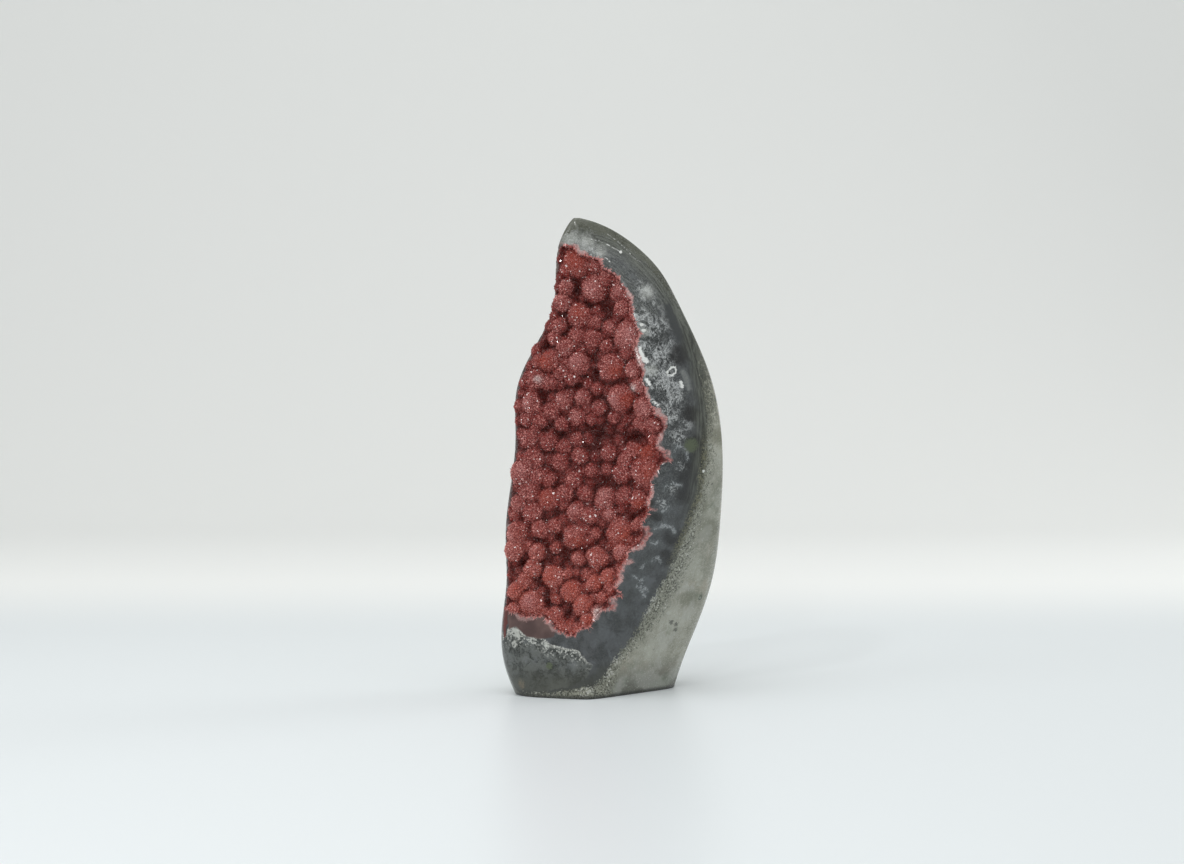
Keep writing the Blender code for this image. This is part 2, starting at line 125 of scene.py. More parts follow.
MOTTLE_EDGE = [
    (-60, 24), (-41.5, 22.5), (-39, 26.5), (-35.5, 26.5), (-33.5, 23), (-30.5, 22.8),
    (-26.4, 22.4), (-23, 19.6), (-19.3, 18.8), (-13, 17.9), (-6.7, 12.3), (-9, 7.5),
    (-16, 4.5), (-26, 2.5), (-60, 2),
]
AGATE_LEFT = 9.0
SPECKLE_LEFT = 5.0
# The turns that are seen from the front, the length of the left side and of the right one, the
# value past them, and the furthest that counts.
FRONT_TURNS = (0.6, 4)
LEFT_SIDE, RIGHT_SIDE = 34, 36
OFF_FACE, BAND_REACH = -8, 30

# Marks on the face, listed one by one: round ones as X, Z and radius. The frost is feathery, the
# haze soft, the dim places are darker agate, and chalk, light, olive, green and tan are tints of
# rock.
ROUND_MARKS = {
    "frost": [
        (-16, 172.5, 5.2), (-8.5, 169.4, 5), (13.5, 152.5, 4.2), (11, 143, 3.5),
        (15.5, 139.5, 4.5), (12.5, 131.5, 3), (18, 127.5, 5), (16, 121.5, 3.5),
        (20.5, 117.5, 4.5), (24, 112.5, 4.5), (22.5, 105.5, 4), (24.5, 97.5, 4),
        (26.5, 87, 3.5), (23, 79, 3), (28.5, 103, 3.5), (19.5, 73, 2.4)],
    "haze": [
        (-16, 172, 5), (-10, 170.2, 4.6), (-4.5, 167, 3.2), (13, 151.8, 3.4),
        (12, 136.8, 2.4), (15, 122.6, 2.6)],
    "dim": [
        (30.2, 88, 4.2), (28.4, 81.5, 5), (27.3, 76.5, 4), (31.5, 95, 3.4),
        (15.5, 73.1, 1.6), (23, 60, 4), (20, 52, 3.5), (25.5, 128.5, 4),
        (29.5, 106, 3.4), (17, 68, 2)],
    "white": [
        (34.6, 84.6, 0.7), (12.2, 137.5, 0.8), (11.6, 139.6, 0.7), (3.4, 167.1, 0.7),
        (20, 160, 0.5)],
    "chalk": [
        (-39, 24.4, 2.6), (-35.6, 23.4, 2.6), (-30, 21.2, 2.2), (-25, 19.4, 1.8),
        (-37, 19.5, 1.6), (15.4, 36.4, 2.4), (13.4, 32.6, 2.2), (1.6, 13.6, 2.4),
        (-1.2, 9.4, 2.2), (-9, 3.4, 2.6), (37, 94.5, 2.4)],
    "light": [
        (38.2, 90.4, 4.5), (29.8, 48.6, 5.5), (23, 27.7, 6), (16.5, 16.3, 5.5),
        (35.5, 77, 3)],
    "olive": [(36.3, 61.9, 5.5), (33.6, 71.4, 3.5), (29.8, 35.3, 4), (41, 98, 3.5)],
    "green": [(-23.4, 12, 1.5), (29.7, 94.5, 3.2)],
    "tan": [(-35.2, 4.6, 2.4)],
    "dark": [(15.4, 73.1, 1.1), (22.8, 26.6, 1.2), (24.6, 25.6, 1), (24.4, 23.4, 0.9)],
}
SOFT_MARK = 2.0
HARD_MARKS = {"white": 4, "dark": 3.0}
# Patches as the X and Z of their outlines.
PATCHES = {
    # The first patch, a pale tongue, is a painted reflection on the polish.
    "reflection tongue": [
        (25.6, 122.6), (27.4, 123.4), (29.4, 119.8), (30.2, 115.4), (28.6, 114.6), (26.8, 117.8)],
    "dark tongue": [
        (19.4, 147.4), (22.4, 147.8), (25.4, 141), (27.4, 134), (25, 132.6), (22, 138.6)],
    "brown": [
        (-41, 32), (-26, 31.5), (-21, 25.5), (-21.5, 22.8), (-26.5, 21.6), (-32, 22.4),
        (-36.5, 26), (-39.8, 24.5)],
    "drip": [
        (-46, 33), (-40, 32), (-40.9, 29), (-40.3, 27.4), (-41.6, 25.6), (-41.4, 22.4),
        (-44, 21)],
}
# Curled wisps in the agate and pale seams of quartz, as half-width and the X and Z of their bends.
LINES = {
    "wisp": [
        (0.65, [(16, 63.2), (19.2, 64.5), (22.2, 63.6), (23.6, 61.8)]),
        (0.4, [(14.6, 58.6), (16.4, 57.4), (17.2, 58.8)]),
        (0.5, [(15.2, 51.2), (17.2, 52.3), (18.5, 50.6)]),
        (0.4, [(11.2, 48.8), (12.6, 50.5)]),
        (0.35, [(8.2, 45.6), (10.2, 43.6), (12.2, 44.7)]),
        (0.5, [(9.2, 41.6), (11.4, 39.7), (12.3, 37.6)]),
        (0.35, [(11, 42.4), (13.6, 39.4)]),
        (0.45, [(22, 90.6), (24.4, 94.4), (27.8, 93), (28.4, 89.6)]),
        (0.35, [(20.4, 79.2), (23, 80.6), (26, 79.4)]),
        (0.35, [(18.6, 70), (21.4, 71.6)])],
    "seam": [
        (0.3, [(-8.6, 172), (-4.4, 171.2), (-1.5, 169.9), (3.3, 167.2)]),
        (0.22, [(-1.5, 173.9), (2.2, 171.4), (5.6, 168.2), (8, 165.4), (11.1, 163.2)]),
        (0.26, [(-3.7, 165.4), (-1.6, 164.6), (0, 162.8)]),
        (0.95, [(11.3, 130.6), (11.9, 128.2), (13.4, 125.8)]),
        (0.7, [(13.8, 119.2), (14.9, 117.3)]),
        (0.6, [(16.4, 110.8), (17.6, 109.6)]),
        (0.8, [(25.9, 118.2), (26.5, 116.2)]),
        (0.6, [(20.7, 120.9), (20.9, 122.3), (22.3, 123.7), (23.9, 123.6), (24.1, 121.9),
                (22.7, 120.6), (20.7, 120.9)])],
}
OFF_PATCH = -9.0
OFF_LINE = -3.0


def spline(knots, rows, places):
    """Natural cubic spline: each span blends its two rows and their second derivatives."""
    gaps = np.diff(knots)
    size = len(knots)
    system = np.eye(size)
    bends = np.zeros_like(rows)
    for i in range(1, size - 1):
        system[i, i - 1:i + 2] = gaps[i - 1], 2 * (gaps[i - 1] + gaps[i]), gaps[i]
        bends[i] = 6 * ((rows[i + 1] - rows[i]) / gaps[i] - (rows[i] - rows[i - 1]) / gaps[i - 1])
    curvature = np.linalg.solve(system, bends)
    cell = np.clip(np.searchsorted(knots, places) - 1, 0, size - 2)
    gap = gaps[cell][:, None]
    after = (places - knots[cell])[:, None] / gap
    before = 1 - after
    bow = (before ** 3 - before) * curvature[cell] + (after ** 3 - after) * curvature[cell + 1]
    return before * rows[cell] + after * rows[cell + 1] + bow * gap ** 2 / 6


STEPS = np.diff(STATIONS[:, (0, 1, 4)], axis=0)
KNOTS = np.concatenate([[0], np.cumsum(np.sqrt((STEPS ** 2).sum(axis=1)))])
RUN_TABLE = np.linspace(0, KNOTS[-1], 2000)
HEIGHT_TABLE = spline(KNOTS, STATIONS, RUN_TABLE)[:, 0]


def run_at(z):
    """The run at which the stone reaches each height, read back from a fine table."""
    return np.interp(z, HEIGHT_TABLE, RUN_TABLE)


def section(run):
    """Unrounded corners (n, 6, 2), their rounding (n, 6) and the height (n) at each run.

    The face falls back from the ridge at FACE_SLOPE, the flank at its own slope to the facet,
    and the outer flank at OUTER_SLOPE to the right corner. Two soft corners close the back.
    """
    z, left, ridge, facet, right, front, flank, back, *rounding = spline(KNOTS, STATIONS, run).T
    width = right - left
    left_y = front + FACE_SLOPE * (ridge - left)
    facet_y = front + flank * (facet - ridge)
    right_y = facet_y + OUTER_SLOPE * (right - facet)
    corners = np.stack([
        np.stack([left + 0.1 * width, left_y + 0.7 * (back - left_y)], axis=1),
        np.stack([left, left_y], axis=1),
        np.stack([ridge, front], axis=1),
        np.stack([facet, facet_y], axis=1),
        np.stack([right, right_y], axis=1),
        np.stack([right - 0.2 * width, back], axis=1),
    ], axis=1)
    soft = np.full_like(z, BACK_ROUNDING)
    return corners, np.stack([soft, *rounding, soft], axis=1), z


def surface(turn, run):
    """Points of the polished surface. A turn of 1.25 is a quarter of the way from corner 1 to 2.

    Near a corner the point is corner - (1-t)^2 reach edge_before + t^2 reach edge_after, with t
    from 0 to 1 through the rounding. Elsewhere it lies on the straight edge.
    """
    corners, rounding, z = section(run)
    each = np.arange(len(run))
    edge = np.floor(turn).astype(int) % CORNERS
    part = (turn - np.floor(turn))[:, None]
    following = (edge + 1) % CORNERS
    along = np.roll(corners, -1, axis=1) - corners
    start, end = corners[each, edge], corners[each, following]
    reach_start = rounding[each, edge][:, None]
    reach_end = rounding[each, following][:, None]
    before, here = along[each, edge - 1], along[each, edge]
    after = along[each, following]
    leave = 0.5 + 0.5 * part / reach_start
    arrive = 0.5 * (part - 1 + reach_end) / reach_end
    leaving = start - (1 - leave) ** 2 * reach_start * before + leave ** 2 * reach_start * here
    arriving = end - (1 - arrive) ** 2 * reach_end * here + arrive ** 2 * reach_end * after
    flat = np.where(part < reach_start, leaving, start + part * here)
    flat = np.where(part > 1 - reach_end, arriving, flat)
    return np.column_stack([flat, z])


def normals(turn, run, step=0.02):
    """Outward unit normals: the cross product of small steps round and up the stone."""
    around = surface(turn + step / 20, run) - surface(turn - step / 20, run)
    low, high = np.maximum(run - step, 0), np.minimum(run + step, KNOTS[-1])
    across = np.cross(around, surface(turn, high) - surface(turn, low))
    return across / np.linalg.norm(across, axis=1)[:, None]


def face_place(points):
    """The turn and run of points of the face, given as X and Z seen from the front."""
    run = run_at(points[:, 1])
    corners = section(run)[0]
    left, ridge, facet = corners[:, 1, 0], corners[:, 2, 0], corners[:, 3, 0]
    x = points[:, 0]
    on_face = 1 + (x - left) / (ridge - left)
    on_flank = 2 + (x - ridge) / (facet - ridge)
    return np.where(x < ridge, on_face, on_flank), run


def front_plane(turn, run):
    """X and Z as seen from the front: face_place read backwards.

    Past the left rim, X goes on by the length gone round the side, so the plane has no fold.
    """
    corners, _, z = section(run)
    each = np.arange(len(run))
    edge = np.clip(np.floor(turn).astype(int), 0, CORNERS - 1)
    start, end = corners[each, edge], corners[each, (edge + 1) % CORNERS]
    along = start[:, 0] + (turn - edge) * (end - start)[:, 0]
    past = corners[:, 1, 0] - (1 - turn) * np.linalg.norm(corners[:, 1] - corners[:, 0], axis=1)
    return np.column_stack([np.where(turn < 1, past, along), z])


def inside(points, loop):
    """Whether each point lies inside the closed loop: an odd count of edges to its right."""
    x, y = points[:, 0][:, None], points[:, 1][:, None]
    ax, ay = loop[:, 0], loop[:, 1]
    bx, by = np.roll(ax, -1), np.roll(ay, -1)
    crosses = (ay > y) != (by > y)
    rise = np.where(by == ay, 1, by - ay)
    return (crosses & (x < ax + (y - ay) * (bx - ax) / rise)).sum(axis=1) % 2 == 1


def to_side(points, start, end):
    """Each point's distance to a straight side: to the nearest place between its two ends."""
    side, offset = end - start, points - start
    part = np.clip(offset @ side / (side @ side), 0, 1)
    return np.linalg.norm(offset - part[:, None] * side, axis=1)


def distance(points, loop):
    """Each point's distance to the closed loop, the least over its straight sides."""
    best = np.full(len(points), np.inf)
    for start, end in zip(loop, np.roll(loop, -1, axis=0)):
        best = np.minimum(best, to_side(points, start, end))
    return best


def reach_inside(points, loop):
    """Signed distance to the loop's edge: positive inside it, negative outside."""
    loop = np.array(loop)
    return np.where(inside(points, loop), 1, -1) * distance(points, loop)


def marks(points, spots, sharpness):
    """How strongly the nearest mark covers a point: exp(-(distance / radius) ** sharpness)."""
    best = np.zeros(len(points))
    for x, z, radius in spots:
        away = np.hypot(points[:, 0] - x, points[:, 1] - z) / radius
        best = np.maximum(best, np.exp(-away ** sharpness))
    return best


def seams(points, lines):
    """How far each point is inside the nearest seam: half-width less distance to its line."""
    best = np.full(len(points), OFF_LINE)
    for half_width, line in lines:
        for start, end in zip(np.array(line[:-1]), np.array(line[1:])):
            best = np.maximum(best, half_width - to_side(points, start, end))
    return best


def druzy_outline(from_rim, steps):
    """The clockwise edge of the druzy face: the toothed side, then up beside the left rim."""
    right_side = np.array(DRUZY_EDGE)
    z = np.linspace(right_side[-1, 1], right_side[0, 1], steps + 1)[1:-1]
    left = section(run_at(z))[0][:, 1, 0]
    return np.vstack([right_side, np.column_stack([left + from_rim, z])])


def jagged(loop, pieces, amount, seed=5):
    """The loop with each side split up, and the new points pushed a little to either side.

    Lower down, the point in the middle of each side is pushed further out, as a longer tooth.
    """
    chance = np.random.default_rng(seed)
    ahead = np.roll(loop, -1, axis=0)
    steps = np.arange(pieces) / pieces
    points = (loop[:, None] + steps[None, :, None] * (ahead - loop)[:, None]).reshape(-1, 2)
    side = np.repeat(ahead - loop, pieces, axis=0)
    square = np.column_stack([-side[:, 1], side[:, 0]]) / np.linalg.norm(side, axis=1)[:, None]
    part = np.tile(steps, len(loop))
    push = chance.uniform(-amount, amount, len(points)) * (part > 0)
    longer = chance.uniform(-amount, LONG_TOOTH * amount, len(points))
    push += longer * (part == 0.5) * (points[:, 1] < LONG_BELOW)
    return points + push[:, None] * square


def add_mesh(name, points, polygons, attributes=None, smooth=True):
    """A mesh object from points in millimetres, with a named value on each of its points."""
    mesh = bpy.data.meshes.new(name)
    mesh.from_pydata(((points - ORIGIN) * MM).tolist(), [], polygons)
    for label, values in (attributes or {}).items():
        layer = mesh.attributes.new(label, "FLOAT", "POINT")
        layer.data.foreach_set("value", values.astype(np.float32))
    mesh.polygons.foreach_set("use_smooth", np.full(len(mesh.polygons), smooth))
    piece = bpy.data.objects.new(name, mesh)
    bpy.context.scene.collection.objects.link(piece)
    return piece


TOOTHED = jagged(druzy_outline(-RIM_WRAP, LEFT_EDGE_STEPS), TOOTH_PIECES, TOOTH_AMOUNT)

stone_turns = np.concatenate([
    edge + np.arange(columns) / columns for edge, columns in enumerate(EDGE_COLUMNS)])
row_rise = np.array([0, 0.12, 0.3, BASE_BEVEL])
stone_runs = np.concatenate([row_rise, np.linspace(1, KNOTS[-1], STONE_ROWS)])
stone_turn, stone_run = (a.ravel() for a in np.meshgrid(stone_turns, stone_runs))
stone_points = surface(stone_turn, stone_run)
cad_low, cad_high = (np.array(corner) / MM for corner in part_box("polished_matrix"))
ORIGIN = (stone_points.min(axis=0) + stone_points.max(axis=0)) / 2 - (cad_low + cad_high) / 2
ORIGIN[2] = 0

stone_front = front_plane(stone_turn, stone_run)
front_side = (stone_turn > FRONT_TURNS[0]) & (stone_turn < FRONT_TURNS[1])
round_left = np.where(stone_turn < 1, (1 - stone_turn) * LEFT_SIDE, 0)
round_right = np.where(stone_turn > 4, (stone_turn - 4) * RIGHT_SIDE, 0)


def band(loop, left_width):
    """Reach inside a band of rock: by the loop on the front, by its width past the left rim."""
    on_front = reach_inside(stone_front, loop)
    past_left = left_width - round_left
    reach = np.where(stone_turn <= 1, np.minimum(past_left, on_front), on_front)
    reach = np.clip(reach, -BAND_REACH, BAND_REACH)
    return np.where(stone_turn >= 4, OFF_FACE - round_right, reach)


druzy_reach = np.where(
    front_side, reach_inside(stone_front, TOOTHED), OFF_FACE - round_left - round_right)
from_left = np.maximum(stone_front[:, 0] - section(stone_run)[0][:, 1, 0], 0)
sink = np.minimum(BED_FALL * np.maximum(druzy_reach - BED_START, 0), BED_RIM + BED_RISE * from_left)
sink = np.minimum(sink, BED_MOST)
bevel = np.clip(BASE_BEVEL - stone_points[:, 2], 0, BASE_BEVEL)
inward = BASE_BEVEL - np.sqrt(np.maximum(BASE_BEVEL ** 2 - bevel ** 2, 0))
stone_points = stone_points - sink[:, None] * normals(stone_turn, stone_run)
stone_points = stone_points - inward[:, None] * normals(stone_turn, stone_run) * np.array([1, 1, 0])

around, up = len(stone_turns), len(stone_runs)
corner = np.arange((up - 1) * around).reshape(up - 1, around)
right = np.roll(corner, -1, axis=1)
quads = np.stack([corner, right, right + around, corner + around], axis=-1).reshape(-1, 4)
caps = [list(range(around))[::-1], list(range((up - 1) * around, up * around))]
stone_values = {
    "druzy": druzy_reach,
    "agate": band(AGATE_EDGE, AGATE_LEFT),
    "basalt": band(BASALT_EDGE, AGATE_LEFT + SPECKLE_LEFT),
    "mottle": band(MOTTLE_EDGE, AGATE_LEFT),
    "from left": np.where(stone_turn < 1, 0, from_left),
}
for label, spots in ROUND_MARKS.items():
    stone_values[label] = marks(stone_front, spots, HARD_MARKS.get(label, SOFT_MARK)) * front_side
for label, loop in PATCHES.items():
    stone_values[label] = np.where(front_side, reach_inside(stone_front, loop), OFF_PATCH)
for label, lines in LINES.items():
    stone_values[label] = np.where(front_side, seams(stone_front, lines), OFF_LINE)
polished_stone = add_mesh("polished_stone", stone_points, quads.tolist() + caps, stone_values)
polished_stone.data.set_sharp_from_angle(angle=SHARP_ANGLE)
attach(polished_stone, "root")
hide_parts("polished_matrix")


def paint(red, green, blue):
    """A colour from its 0 to 255 values, as light."""
    return tuple(((c / 255 + 0.055) / 1.055) ** 2.4 if c > 10 else c / 3295
                 for c in (red, green, blue)) + (1,)


class Wire:
    """A socket of a material, worked with like a number: each sign adds its Math node."""

    def __init__(self, tree, socket):
        self.tree, self.socket = tree, socket

    def node(self, kind, settings, sockets, output=0):
        """Adds a node, with its settings first and then the values or wires of its sockets."""
        made = self.tree.nodes.new(kind)
        for label, value in settings.items():
            setattr(made, label, value)
        for label, value in sockets.items():
            if isinstance(value, Wire):
                self.tree.links.new(value.socket, made.inputs[label])
            else:
                made.inputs[label].default_value = value
        return Wire(self.tree, made.outputs[output])

    def math(self, operation, *values):
        return self.node("ShaderNodeMath", {"operation": operation}, dict(enumerate(values)))

    def __add__(self, other):
        return self.math("ADD", self, other)

    def __sub__(self, other):
        return self.math("SUBTRACT", self, other)

    def __rsub__(self, other):
        return self.math("SUBTRACT", other, self)

    def __mul__(self, other):
        return self.math("MULTIPLY", self, other)

    def __truediv__(self, other):
        return self.math("DIVIDE", self, other)

    __radd__, __rmul__ = __add__, __mul__

    def step(self, low, high):
        """0 below low, 1 above high, and a smooth rise between them."""
        return self.node("ShaderNodeMapRange", {"interpolation_type": "SMOOTHSTEP"},
                         {"Value": self, "From Min": low, "From Max": high})

    def tint(self, first, second):
        """The first colour where this is 0, the second where it is 1: wires or 0 to 255 values."""
        first, second = (c if isinstance(c, Wire) else paint(*c) for c in (first, second))
        return self.node("ShaderNodeMix", {"data_type": "RGBA"}, {0: self, 6: first, 7: second}, 2)

    def noise(self, size, detail=3, roughness=0.5, distortion=0):
        """Cloudy noise with features about this many units of this vector across."""
        return self.node("ShaderNodeTexNoise", {}, {
            "Vector": self, "Scale": 1.0 / size, "Detail": detail, "Roughness": roughness,
            "Distortion": distortion})

    def grains(self, size, output=1):
        """Random grains of this size: 1 gives each its own number, 0 the way to its middle."""
        return self.node("ShaderNodeTexVoronoi", {}, {"Vector": self, "Scale": 1.0 / size}, output)

    def stretched(self, x, y, z):
        return self.node("ShaderNodeVectorMath", {"operation": "MULTIPLY"}, {0: self, 1: (x, y, z)})

    def part(self, axis):
        """The X, Y or Z part of this vector, for axis 0, 1 or 2."""
        return self.node("ShaderNodeSeparateXYZ", {}, {0: self}, axis)

    def value(self, name):
        """The mesh's own value of this name."""
        return self.node("ShaderNodeAttribute", {"attribute_name": name}, {}, 2)

    def bump(self, strength, depth):
        """Normals bent as this height says, for a relief this many millimetres deep."""
        return self.node("ShaderNodeBump", {}, {
            "Strength": strength, "Distance": depth * MM, "Height": self})

    def feed(self, shader, label):
        self.tree.links.new(self.socket, shader.inputs[label])


def material(name, **settings):
    """A Principled material with its constants set, its shader, and a start for its wires."""
    made = bpy.data.materials.new(name)
    made.use_nodes = True
    shader = made.node_tree.nodes["Principled BSDF"]
    for label, value in settings.items():
        shader.inputs[label.replace("_", " ")].default_value = value
    return made, shader, Wire(made.node_tree, None)


def in_millimetres(start):
    """The piece's own coordinates, in millimetres."""
    spot = start.node("ShaderNodeTexCoord", {}, {}, 3)
    return spot.node("ShaderNodeVectorMath", {"operation": "SCALE"}, {0: spot, "Scale": 1 / MM})


def layered(colour, *coats):
    """The colour with each coat laid over it in turn, as strongly as its mask says."""
    for mask, coat in coats:
        colour = mask.tint(colour, coat)
    return colour


def finish_stone():
    """Polished rock: dark agate, salt-and-pepper contact rock and pale basalt, by the bands."""
    made, shader, start = material("polished_geode_rock", IOR=1.52)
    place = in_millimetres(start)
    sideways, height, mark = place.part(0), place.part(2), start.value
    druzy, agate, basalt, mottle = (mark(name) for name in ("druzy", "agate", "basalt", "mottle"))
    fine = place.noise(0.55, 3, 0.65).step(0.34, 0.66)
    speckle = place.noise(0.5, 3, 0.7).step(0.42, 0.62)
    broken = place.noise(1.9, 5, 0.7, 1.2).step(0.42, 0.58)
    cloud = place.noise(9, 4).step(0.36, 0.64)
    ragged = place.noise(1.7, 4, 0.65) - 0.5
    grain, coarse = place.grains(0.5), place.grains(0.95)
    low = 1 - height.step(60, 90)
    # Layers that run along the bands: the way across them counts most.
    along = start.node("ShaderNodeCombineXYZ", {}, {
        "X": agate * 1.9 + ragged * 0.8, "Y": sideways * 0.13, "Z": height * 0.13})
    layers = along.noise(1, 4, 0.62).step(0.4, 0.62)
    # Paler lines along the bands, laid on near the top of the agate.
    band_lines = along.stretched(1.7, 1.5, 1.5).noise(1, 4, 0.7).step(0.5, 0.64)

    def fibres(size, width):
        """Thin crooked threads, where a twisted noise passes its middle value."""
        swing = place.noise(size, 5, 0.62, 1.6) - 0.5
        return 1 - swing.math("ABSOLUTE", swing).step(0, width)

    # Dark agate: frosted near the crystals and in its upper half, layered at its outer edge.
    beyond = -1 * druzy
    inner = 1 - (beyond / (agate.math("MAXIMUM", agate, 0.1) - druzy)).step(0.35, 0.8)
    upper = height.step(30, 75) * 0.5 + height.step(88, 112) * 0.5 - height.step(146, 160) * 0.55
    patch = place.noise(3.6, 6, 0.68, 1).step(0.42, 0.6)
    wide = place.noise(9.5, 2).step(0.4, 0.58)
    frosted = (patch * (0.12 + wide * 0.5) + fine * 0.1) * upper
    frosted = (frosted + mark("frost") * (0.12 + broken * 0.7)).step(0.28, 0.9) * inner
    threads = fibres(2.6, 0.035) * 0.8 + place.grains(0.45).step(0.8, 0.95) * 0.5
    outer = (1 - agate.step(1.5, 7)) * height.step(60, 80)
    haze = (mark("haze") + ragged * 0.8).step(0.2, 1.1) * (0.34 + fine * 0.2 + speckle * 0.3)
    wisp = mark("wisp") + (broken - 0.6) * 0.8 + ragged
    golden = 1 - (agate + ragged * 3).step(1.2, 3.2)
    golden = golden * height.step(46, 58) * (1 - height.step(88, 104))
    # Painted shade: foot darkens the agate along the bottom of the stone.
    foot = (1 - height.step(9, 16)) * (1 - agate.step(2, 6))
    slate = layered(
        place.noise(6.5, 4, 0.6).step(0.38, 0.62).tint((44, 47, 47), (70, 73, 75)),
        (place.noise(3.8, 5, 0.62, 0.8).step(0.5, 0.66) * 0.45, (88, 92, 96)),
        (fine * 0.3, (88, 90, 90)),
        ((1 - frosted) * inner * upper * 0.8, (36, 39, 38)),
        (frosted * (0.3 + speckle * 0.56), (176, 178, 177)),
        (threads * (frosted * 0.8 + inner * upper * 0.3), (200, 203, 203)),
        ((mark("dim") + ragged * 0.7).step(0.1, 0.7) * 0.85, (19, 19, 18)),
        (outer * 0.85, layers.tint((46, 48, 41), (92, 95, 86))),
        (height.step(132, 150) * (band_lines * 0.3 + speckle * 0.2), (138, 141, 135)),
        (haze, (176, 178, 173)),
        (wisp.step(-2.2, 0.2) * 0.25, (96, 102, 103)),
        (wisp.step(-0.35, 0.45) * (0.2 + fine * 0.5), (172, 176, 178)),
        # Painted reflection: the pale tongue on the polished agate.
        ((mark("reflection tongue") + ragged * 2.2).step(-0.7, 1.2) * (0.45 + fine * 0.35),
         (124, 127, 124)),
        ((mark("dark tongue") + ragged * 2).step(-0.6, 0.8) * 0.85, (52, 55, 55)),
        (golden * 0.9, grain.step(0.2, 0.95).tint((36, 38, 29), (112, 111, 88))),
        (foot * 0.7, (54, 56, 48)))

    # Contact rock: dark and pale grains side by side, darker and finer towards the top.
    flecks = place.noise(0.85, 4, 0.75).step(0.42, 0.55) * 0.6 + grain * 0.4
    chalk = (mark("chalk") * (0.3 + broken)).step(0.4, 0.75)
    salt = layered(
        flecks.step(0.15, 0.85).tint((54, 55, 45), (142, 143, 130)),
        (place.grains(0.45).step(0.78, 0.9) * (0.4 + low * 0.5), (190, 191, 181)),
        (cloud * 0.3, (96, 97, 82)),
        (chalk * speckle * 0.8, (196, 197, 190)),
        (height.step(84, 118) * 0.85, cloud.tint((56, 58, 48), (80, 82, 72))))

    # Basalt: grey-green streaks, small filled gas bubbles, olive by the contact near the top,
    # painted light.
    streaks = place.stretched(1, 1, 0.3).noise(3.2, 6, 0.62, 0.4).step(0.38, 0.62)
    blebs = place.grains(7.5, 0) + (place.noise(1.6, 4) - 0.5) * 0.22
    blebs = blebs - place.grains(7.5).step(0.35, 1) * 0.16
    olive = (basalt + 9).step(0, 7) * height.step(112, 138)
    pale = layered(
        streaks.tint((114, 115, 101), (143, 143, 131)),
        (place.noise(17, 4, 0.6, 0.6).step(0.46, 0.62) * 0.6, (106, 109, 93)),
        (place.noise(7.5, 5, 0.62, 0.5).step(0.5, 0.66) * 0.7, (163, 164, 152)),
        (fine * 0.4, (160, 160, 147)),
        (coarse.step(0.93, 0.96) * 0.7, (82, 83, 72)),
        (place.grains(1.7).step(0.955, 0.965) * 0.6, (176, 177, 170)),
        # Painted light: lighter low on the flank, as from light thrown up off the table.
        ((1 - height.step(20, 75)) * 0.3, (168, 168, 156)),
        (place.noise(14, 4, 0.6, 0.5).step(0.52, 0.66) * low * 0.45, (160, 153, 138)),
        # Painted shade: darker along the foot of the stone.
        ((1 - height.step(3, 15)) * 0.8, (80, 82, 75)),
        (fibres(26, 0.005) * fine * 0.8, (176, 178, 168)),
        (fibres(15, 0.008) * 0.45, (82, 85, 72)),
        (1 - blebs.step(0.03, 0.09), fine.tint((60, 68, 56), (96, 103, 88))),
        ((1 - blebs.step(-0.03, 0)) * 0.8, (172, 176, 166)),
        (place.noise(13, 4, 0.6).step(0.56, 0.7) * 0.35, (96, 112, 92)),
        # The olive streaks near the top are partly a painted dark reflection.
        (olive * 0.85, layers.tint((62, 65, 56), (96, 99, 90))),
        ((mark("light") + ragged * 0.7).step(0.1, 0.9) * 0.45, (172, 173, 162)),
        ((mark("olive") + ragged * 0.9).step(0.1, 0.8) * 0.65, (106, 107, 90)),
        ((1 - height.step(40, 110)) * place.noise(11, 3).step(0.5, 0.62) * 0.4, (176, 177, 170)))

    # The mottled place at the lower left, with a chalky shore.
    shore = mottle + ragged * 2.0
    shallows = place.grains(0.6).step(0.62, 0.85) * (1 - shore.step(0.5, 6)) * height.step(9, 15)
    murk = layered(
        place.noise(3.4, 6, 0.72, 0.6).step(0.42, 0.58).tint((30, 34, 29), (86, 89, 86)),
        (fine * 0.3, (106, 110, 110)),
        (place.noise(5, 4, 0.6).step(0.55, 0.66) * 0.4, (108, 112, 113)),
        (chalk * 0.85, (174, 176, 170)),
        (shallows * 0.8, (186, 188, 182)),
        # Painted shade: darker along the foot of the stone.
        ((1 - height.step(5, 14)) * 0.75, cloud.tint((52, 54, 46), (72, 74, 66))))
